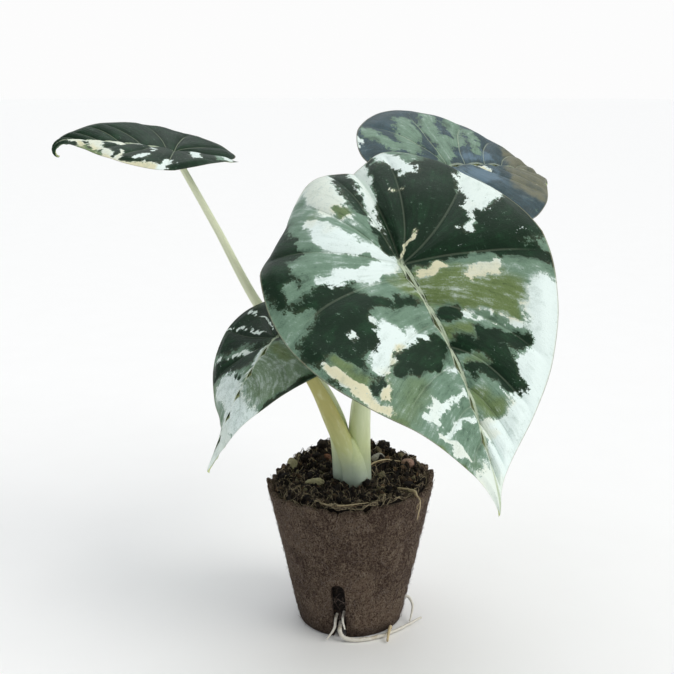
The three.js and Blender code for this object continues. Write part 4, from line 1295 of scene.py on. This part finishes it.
STONES = {
    # azimuth and share of the soil's radius, half sizes, slot, colours
    "stone_grey": ((55, 0.65), (2.6, 2.3, 2.2), "stone", ("8f8c80", "b9b6a6", "6a685e")),
    "stone_sand": ((155, 0.86), (2, 2.2, 2.4), "stone", ("97906f", "b9b391", "6d684d")),
    "lump_clay": ((24, 0.84), (2.3, 2, 1.8), "clay", ("8f7060", "a98a7a", "5d463b")),
    "chip_pale": ((191, 0.48), (3.2, 1.5, 1.5), "stone", ("a19b78", "c9c4a2", "75704f")),
    "bark_front": ((117, 0.69), (2.6, 1.6, 1.3), "bark", ("5f3b26", "8a6040", "2f1d13")),
    "bark_back": ((128, 0.84), (3.1, 1.8, 1.6), "bark", ("4a3022", "6f4c34", "281812")),
}


def stone_finish(name, colours, striped):
    """A matt mineral or bark surface with pits and pale grains."""
    middle, light, dark = (linear(code) for code in colours)
    finish = Finish(name)
    place = finish.place()
    where = finish.stretched(place, (1.0, 1.0, 3.5)) if striped else place
    cloud = finish.noise(where, 500.0, 4.0, 0.7)
    grain = finish.noise(where, 2600.0, 3.0, 0.7)
    pits = finish.cells(where, 1300.0)
    colour = finish.blend((cloud - 0.5).step(0, 0.2), middle, light)
    colour = finish.blend((0.5 - grain).step(0, 0.2) * 0.6, colour, dark)
    colour = finish.blend((0.2 - pits).step(0, 0.15) * 0.6, colour, dark)
    normal = finish.bump(cloud + grain * 0.4 + pits * 0.5, 0.0007, 0.8)
    return finish.done(colour, 0.82, normal)


def build_stone(name):
    """One pebble, clay granule or piece of bark."""
    (azimuth, share), size, slot, colours = STONES[name]
    reach = share * (inner_radius(POT["height"]) - 0.3)
    x, y = reach * math.cos(math.radians(azimuth)), reach * math.sin(math.radians(azimuth))
    middle = np.array([x, y, float(soil_top(x, y)) + 0.35 * size[2]])
    turn = x + y
    bm = bmesh.new()
    verts = bmesh.ops.create_icosphere(bm, subdivisions=5, radius=1)["verts"]
    way = np.array([vert.co for vert in verts])
    bump = 1 + 0.09 * np.sin(3.1 * way[:, 0] + turn) + 0.08 * np.cos(2.7 * way[:, 1] - 2 * way[:, 2])
    rough = 0.14 if slot == "bark" or name == "chip_pale" else 0.05
    bump = bump + rough * noise_at(way, 0.45, 3, 3) + 0.02 * noise_at(way, 0.12, 4, 2)
    placed = way * np.array(size) * bump[:, None]
    cosine, sine = math.cos(turn), math.sin(turn)
    across, deep, high = placed.T
    turned = np.stack([across * cosine - deep * sine, across * sine + deep * cosine, high], axis=1)
    move(verts, turned + middle)
    return piece(f"{name}_rough", bm, [stone_finish(name, colours, slot == "bark")], [name])


# ---------------------------------------------------------------- roots

LONG_ROOT = 0.75
ON_TABLE = 1.0
FRAGMENT = {"radius": 0.6, "aside": 13.9, "forward": 17.6, "way": (-0.19, -0.98)}
LANE = SLOT["width"] * 0.26
SLOT_ROOTS = {
    # slot, points across the slot, out from the base and up, radius
    "root_slot_long": (0, [
        (0, -5, 6), (0, -1, 5.2), (0.4, 1.8, 3.4), (2, 3, 1.7), (5.6, 2.3, ON_TABLE),
        (11.2, 0.1, ON_TABLE), (17.1, -4.8, ON_TABLE), (22.1, -11.4, ON_TABLE), (27.2, -18.4, ON_TABLE + 0.3),
    ], LONG_ROOT),
    "root_slot_short_a": (0, [
        (-LANE, -5, 9.5), (-LANE, -1, 8.5), (-LANE - 0.4, 2.2, 4.5), (-LANE - 2.6, 4.4, 1),
    ], 0.6),
    "root_slot_short_b": (0, [
        (LANE, -5, 11), (LANE, -1, 10), (LANE + 0.2, 2.4, 8), (LANE + 1.4, 4.2, 5.5),
    ], 0.525),
    "root_side": (1, [(0, -5, 8.5), (0, -1, 8.5), (0.6, 3, 8), (-1, 4.6, 4.5), (-4.5, 4, 1)], 0.6),
}
THREADS = {
    # azimuth, share of the rim's radius, lift over the soil or the rim
    "root_thread_right": [
        (-28, 0.62, 0.6), (-36, 0.82, 1.8), (-41, 0.99, 1), (-45, 1.1, -2.4), (-47, 1.1, -7),
    ],
    "root_thread_front": [(-122, 0.8, 1.4), (-108, 0.86, 1.7), (-92, 0.86, 1.9), (-76, 0.82, 1.5)],
    "root_thread_back": [(58, 0.3, 1), (40, 0.5, 1.4), (30, 0.72, 1.2)],
}


def root_finish(name, light, dark):
    """Fresh root: off-white with darker scars and fine length-wise lines."""
    finish = Finish(name)
    place = finish.place()
    cloud = finish.noise(place, 260.0, 4.0, 0.6)
    grain = finish.noise(place, 1800.0, 2.0)
    colour = finish.blend((cloud - 0.52).step(0, 0.2) * 0.6, light, dark)
    colour = finish.blend((grain - 0.55).step(0, 0.2) * 0.3, colour, dark)
    return finish.done(colour, 0.5, finish.bump(grain + cloud, 0.0003, 0.5))


def wriggled(path, size, seed):
    """A path with small wanderings that leave its ends where they are."""
    ends = np.sin(math.pi * np.linspace(0, 1, len(path)))[:, None] ** 0.5
    shift = np.stack([noise_at(path, 3.5, seed + axis, 2) for axis in range(3)], axis=1)
    shift[:, 2] *= 0.3
    return path + size * shift * ends


def build_slot_root(name):
    """A root that comes out of a drainage slot."""
    settings = bpy.context.scene.alocasia_pot
    slot, offsets, radius = SLOT_ROOTS[name]
    azimuth = slot_azimuth(slot)
    out = np.array([math.cos(azimuth), math.sin(azimuth), 0])
    across = np.array([-math.sin(azimuth), math.cos(azimuth), 0])
    points = [
        out * (POT["base"] + outward) + across * aside + np.array([0, 0, height])
        for aside, outward, height in offsets
    ]
    path = wriggled(smooth_path(points, 70), 0.35, 3)
    bm = bmesh.new()
    strand(bm, path, (radius, radius, 0.75 * radius, 0.5 * radius), 12,
           lambda along, angle: 1 + 0.1 * np.sin(90 * along) * np.sin(37 * along + 2))
    finish = root_finish(name, settings.root, linear("a08f6d"))
    return piece(f"{name}_fresh", bm, [finish], [name])


def build_fragment():
    """A short dead root that lies across the long one."""
    radius = FRAGMENT["radius"]
    low, high = radius + 0.05, ON_TABLE + LONG_ROOT + radius + 0.6
    across, ahead = FRAGMENT["way"]
    points = [
        (FRAGMENT["aside"] + across * share, -FRAGMENT["forward"] + ahead * share, height)
        for share, height in ((-4, low), (-1.9, high - 0.2), (0, high), (2, high - 0.2), (5.5, low))
    ]
    bm = bmesh.new()
    strand(bm, wriggled(smooth_path(points, 40), 0.15, 8), (0.4, radius, 0.4), 10)
    finish = root_finish("root_fragment", linear("c2b08a"), linear("8a7350"))
    return piece("root_fragment_dry", bm, [finish], ["root_fragment"])


def build_thread(name):
    """A thin rootlet over the soil or the rim, with side threads."""
    points = []
    for azimuth, share, lift in THREADS[name]:
        angle = math.radians(azimuth)
        x, y = share * POT["top"] * math.cos(angle), share * POT["top"] * math.sin(angle)
        over_rim = math.hypot(x, y) > inner_radius(POT["height"]) - 1
        base = POT["height"] + float(rim_lift(angle)) if over_rim else float(soil_top(x, y))
        points.append((x, y, base + 0.45 + lift))
    path = smooth_path(points, 50)
    bm = bmesh.new()
    tint_layer(bm)
    for k, size in enumerate((0.24, 0.14, 0.11)):
        route = wriggled(path, 0.5 + 0.9 * k, 5 + 3 * k) + (0, 0, -0.2 * k)
        verts = strand(bm, route, (size, size, 0.4 * size), 8)[0]
        tint(bm, verts, 0.9 - 0.3 * k)
    finish = fibre_finish(name, linear("c9b793"), linear("6a5238"))
    return piece(f"{name}_fine", bm, [finish], [name])


def finish_hidden_nodes():
    """The corm and the roots inside the soil keep their frame meshes and get a fibrous skin."""
    skin = Finish("corm_skin")
    place = skin.place()
    rings = skin.noise(skin.stretched(place, (0.3, 0.3, 2.0)), 700.0, 3.0)
    colour = skin.blend(rings.step(0.35, 0.65), linear("5f4c30"), linear("9a8458"))
    brown = skin.done(colour, 0.8, skin.bump(rings, 0.0008, 0.8))
    pale = root_finish("root_inner", linear("cfc6ab"), linear("8d7b58"))
    for name in ("corm", "root_inner_1", "root_inner_2", "root_inner_3", "root_inner_4"):
        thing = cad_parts[name]
        thing.data.materials.clear()
        thing.data.materials.append(brown if name == "corm" else pale)


# ---------------------------------------------------------------- stage

FLOOR_RADIUS = 9  # metres
CAMERA_ASIDE = -0.005
CAMERA_TILT = 13.9
SUNS = {
    # direction and height of the light in degrees, power, spread in degrees, colour
    "window": (-25, 40, 1.42, 40, (1.0, 0.98, 0.95)),
    "sky": (100, 68, 0.97, 70, (0.96, 0.98, 1.0)),
}


def build_stage():
    """A pale floor, soft light from the upper right and the camera."""
    settings = bpy.context.scene.alocasia_stage
    scene = bpy.context.scene
    bm = bmesh.new()
    bmesh.ops.create_circle(bm, cap_ends=True, radius=FLOOR_RADIUS, segments=96)
    mesh = bpy.data.meshes.new("floor")
    bm.to_mesh(mesh)
    bm.free()
    floor = bpy.data.objects.new("floor", mesh)
    scene.collection.objects.link(floor)
    finish = Finish("floor")
    speck = finish.noise(finish.place(), 40.0, 4.0)
    colour = finish.blend(speck * 0.12, settings.floor, linear("e3e0db"))
    mesh.materials.append(finish.done(colour, 0.55))

    world = bpy.data.worlds.new("studio")
    scene.world = world
    world.use_nodes = True
    tree = world.node_tree
    tree.nodes.clear()
    glow, wall, choice, ray, end = (
        tree.nodes.new("ShaderNode" + kind)
        for kind in ("Background", "Background", "MixShader", "LightPath", "OutputWorld")
    )
    glow.inputs["Color"].default_value = (0.93, 0.96, 1.0, 1.0)
    glow.inputs["Strength"].default_value = 0.57
    wall.inputs["Color"].default_value = (0.975, 0.975, 0.975, 1.0)
    wall.inputs["Strength"].default_value = 1.0
    tree.links.new(ray.outputs["Is Camera Ray"], choice.inputs[0])
    tree.links.new(glow.outputs[0], choice.inputs[1])
    tree.links.new(wall.outputs[0], choice.inputs[2])
    tree.links.new(choice.outputs[0], end.inputs["Surface"])

    for name, (azimuth, height, power, spread, tone) in SUNS.items():
        light = bpy.data.lights.new(name, "SUN")
        light.energy = power
        light.angle = math.radians(spread)
        light.color = tone
        lamp = bpy.data.objects.new(name, light)
        lamp.rotation_euler = (0, math.radians(90 - height), math.radians(azimuth))
        scene.collection.objects.link(lamp)

    camera = bpy.data.cameras.new("camera")
    camera.lens = settings.lens
    camera.sensor_width = 36
    viewer = bpy.data.objects.new("camera", camera)
    viewer.location = (CAMERA_ASIDE, -settings.distance, settings.height)
    viewer.rotation_euler = (math.radians(90 - CAMERA_TILT), 0, 0)
    scene.collection.objects.link(viewer)
    scene.camera = viewer
    scene.view_settings.view_transform = "Standard"
    scene.view_settings.look = "None"


# ---------------------------------------------------------------- operators


class ALOCASIA_OT_leaves(bpy.types.Operator):
    """Adds the four leaf blades"""

    bl_idname = "alocasia.leaves"
    bl_label = "Leaves"

    def execute(self, context):
        for name in LEAVES:
            build_leaf(name)
        return {"FINISHED"}


class ALOCASIA_OT_stalks(bpy.types.Operator):
    """Adds the four leaf stalks"""

    bl_idname = "alocasia.stalks"
    bl_label = "Stalks"

    def execute(self, context):
        for name in LEAVES:
            build_stalk(name)
        build_sheath()
        return {"FINISHED"}


class ALOCASIA_OT_pot(bpy.types.Operator):
    """Adds the fibre pot with its loose fibres"""

    bl_idname = "alocasia.pot"
    bl_label = "Pot"

    def execute(self, context):
        build_pot()
        build_pot_fibres()
        return {"FINISHED"}


class ALOCASIA_OT_soil(bpy.types.Operator):
    """Adds the soil, its crumbs, threads and stones"""

    bl_idname = "alocasia.soil"
    bl_label = "Soil"

    def execute(self, context):
        build_soil()
        build_crumbs()
        build_soil_fibres()
        for name in STONES:
            build_stone(name)
        return {"FINISHED"}


class ALOCASIA_OT_roots(bpy.types.Operator):
    """Adds the roots outside the pot and finishes the corm and roots inside"""

    bl_idname = "alocasia.roots"
    bl_label = "Roots"

    def execute(self, context):
        for name in SLOT_ROOTS:
            build_slot_root(name)
        build_fragment()
        for name in THREADS:
            build_thread(name)
        finish_hidden_nodes()
        return {"FINISHED"}


class ALOCASIA_OT_stage(bpy.types.Operator):
    """Adds the floor, the lights and the camera"""

    bl_idname = "alocasia.stage"
    bl_label = "Stage"

    def execute(self, context):
        build_stage()
        return {"FINISHED"}


OPERATORS = (
    ALOCASIA_OT_leaves, ALOCASIA_OT_stalks, ALOCASIA_OT_pot, ALOCASIA_OT_soil, ALOCASIA_OT_roots,
    ALOCASIA_OT_stage,
)
SETTINGS = {
    "alocasia_leaves": AlocasiaLeafSettings,
    "alocasia_pot": AlocasiaPotSettings,
    "alocasia_stage": AlocasiaStageSettings,
}


class ALOCASIA_PT_panel(bpy.types.Panel):
    """Lists the plant's settings and what builds it"""

    bl_idname = "ALOCASIA_PT_panel"
    bl_label = "Potted Alocasia"
    bl_space_type = "VIEW_3D"
    bl_region_type = "UI"
    bl_category = "Alocasia"

    def draw(self, context):
        for key, group in SETTINGS.items():
            box = self.layout.box()
            box.label(text=group.__doc__)
            for setting in group.__annotations__:
                box.prop(getattr(context.scene, key), setting)
        for operator in OPERATORS:
            self.layout.operator(operator.bl_idname)


def register():
    """Adds the settings, operators and panel."""
    for group in (*SETTINGS.values(), *OPERATORS, ALOCASIA_PT_panel):
        bpy.utils.register_class(group)
    for key, group in SETTINGS.items():
        setattr(bpy.types.Scene, key, PointerProperty(type=group))


def unregister():
    """Takes them away again."""
    for key in SETTINGS:
        delattr(bpy.types.Scene, key)
    for group in (ALOCASIA_PT_panel, *reversed(OPERATORS), *SETTINGS.values()):
        bpy.utils.unregister_class(group)


def main():
    """Builds the plant."""
    register()
    bpy.ops.alocasia.stage()
    bpy.ops.alocasia.pot()
    bpy.ops.alocasia.soil()
    bpy.ops.alocasia.roots()
    bpy.ops.alocasia.stalks()
    bpy.ops.alocasia.leaves()


if __name__ == "__main__":
    main()
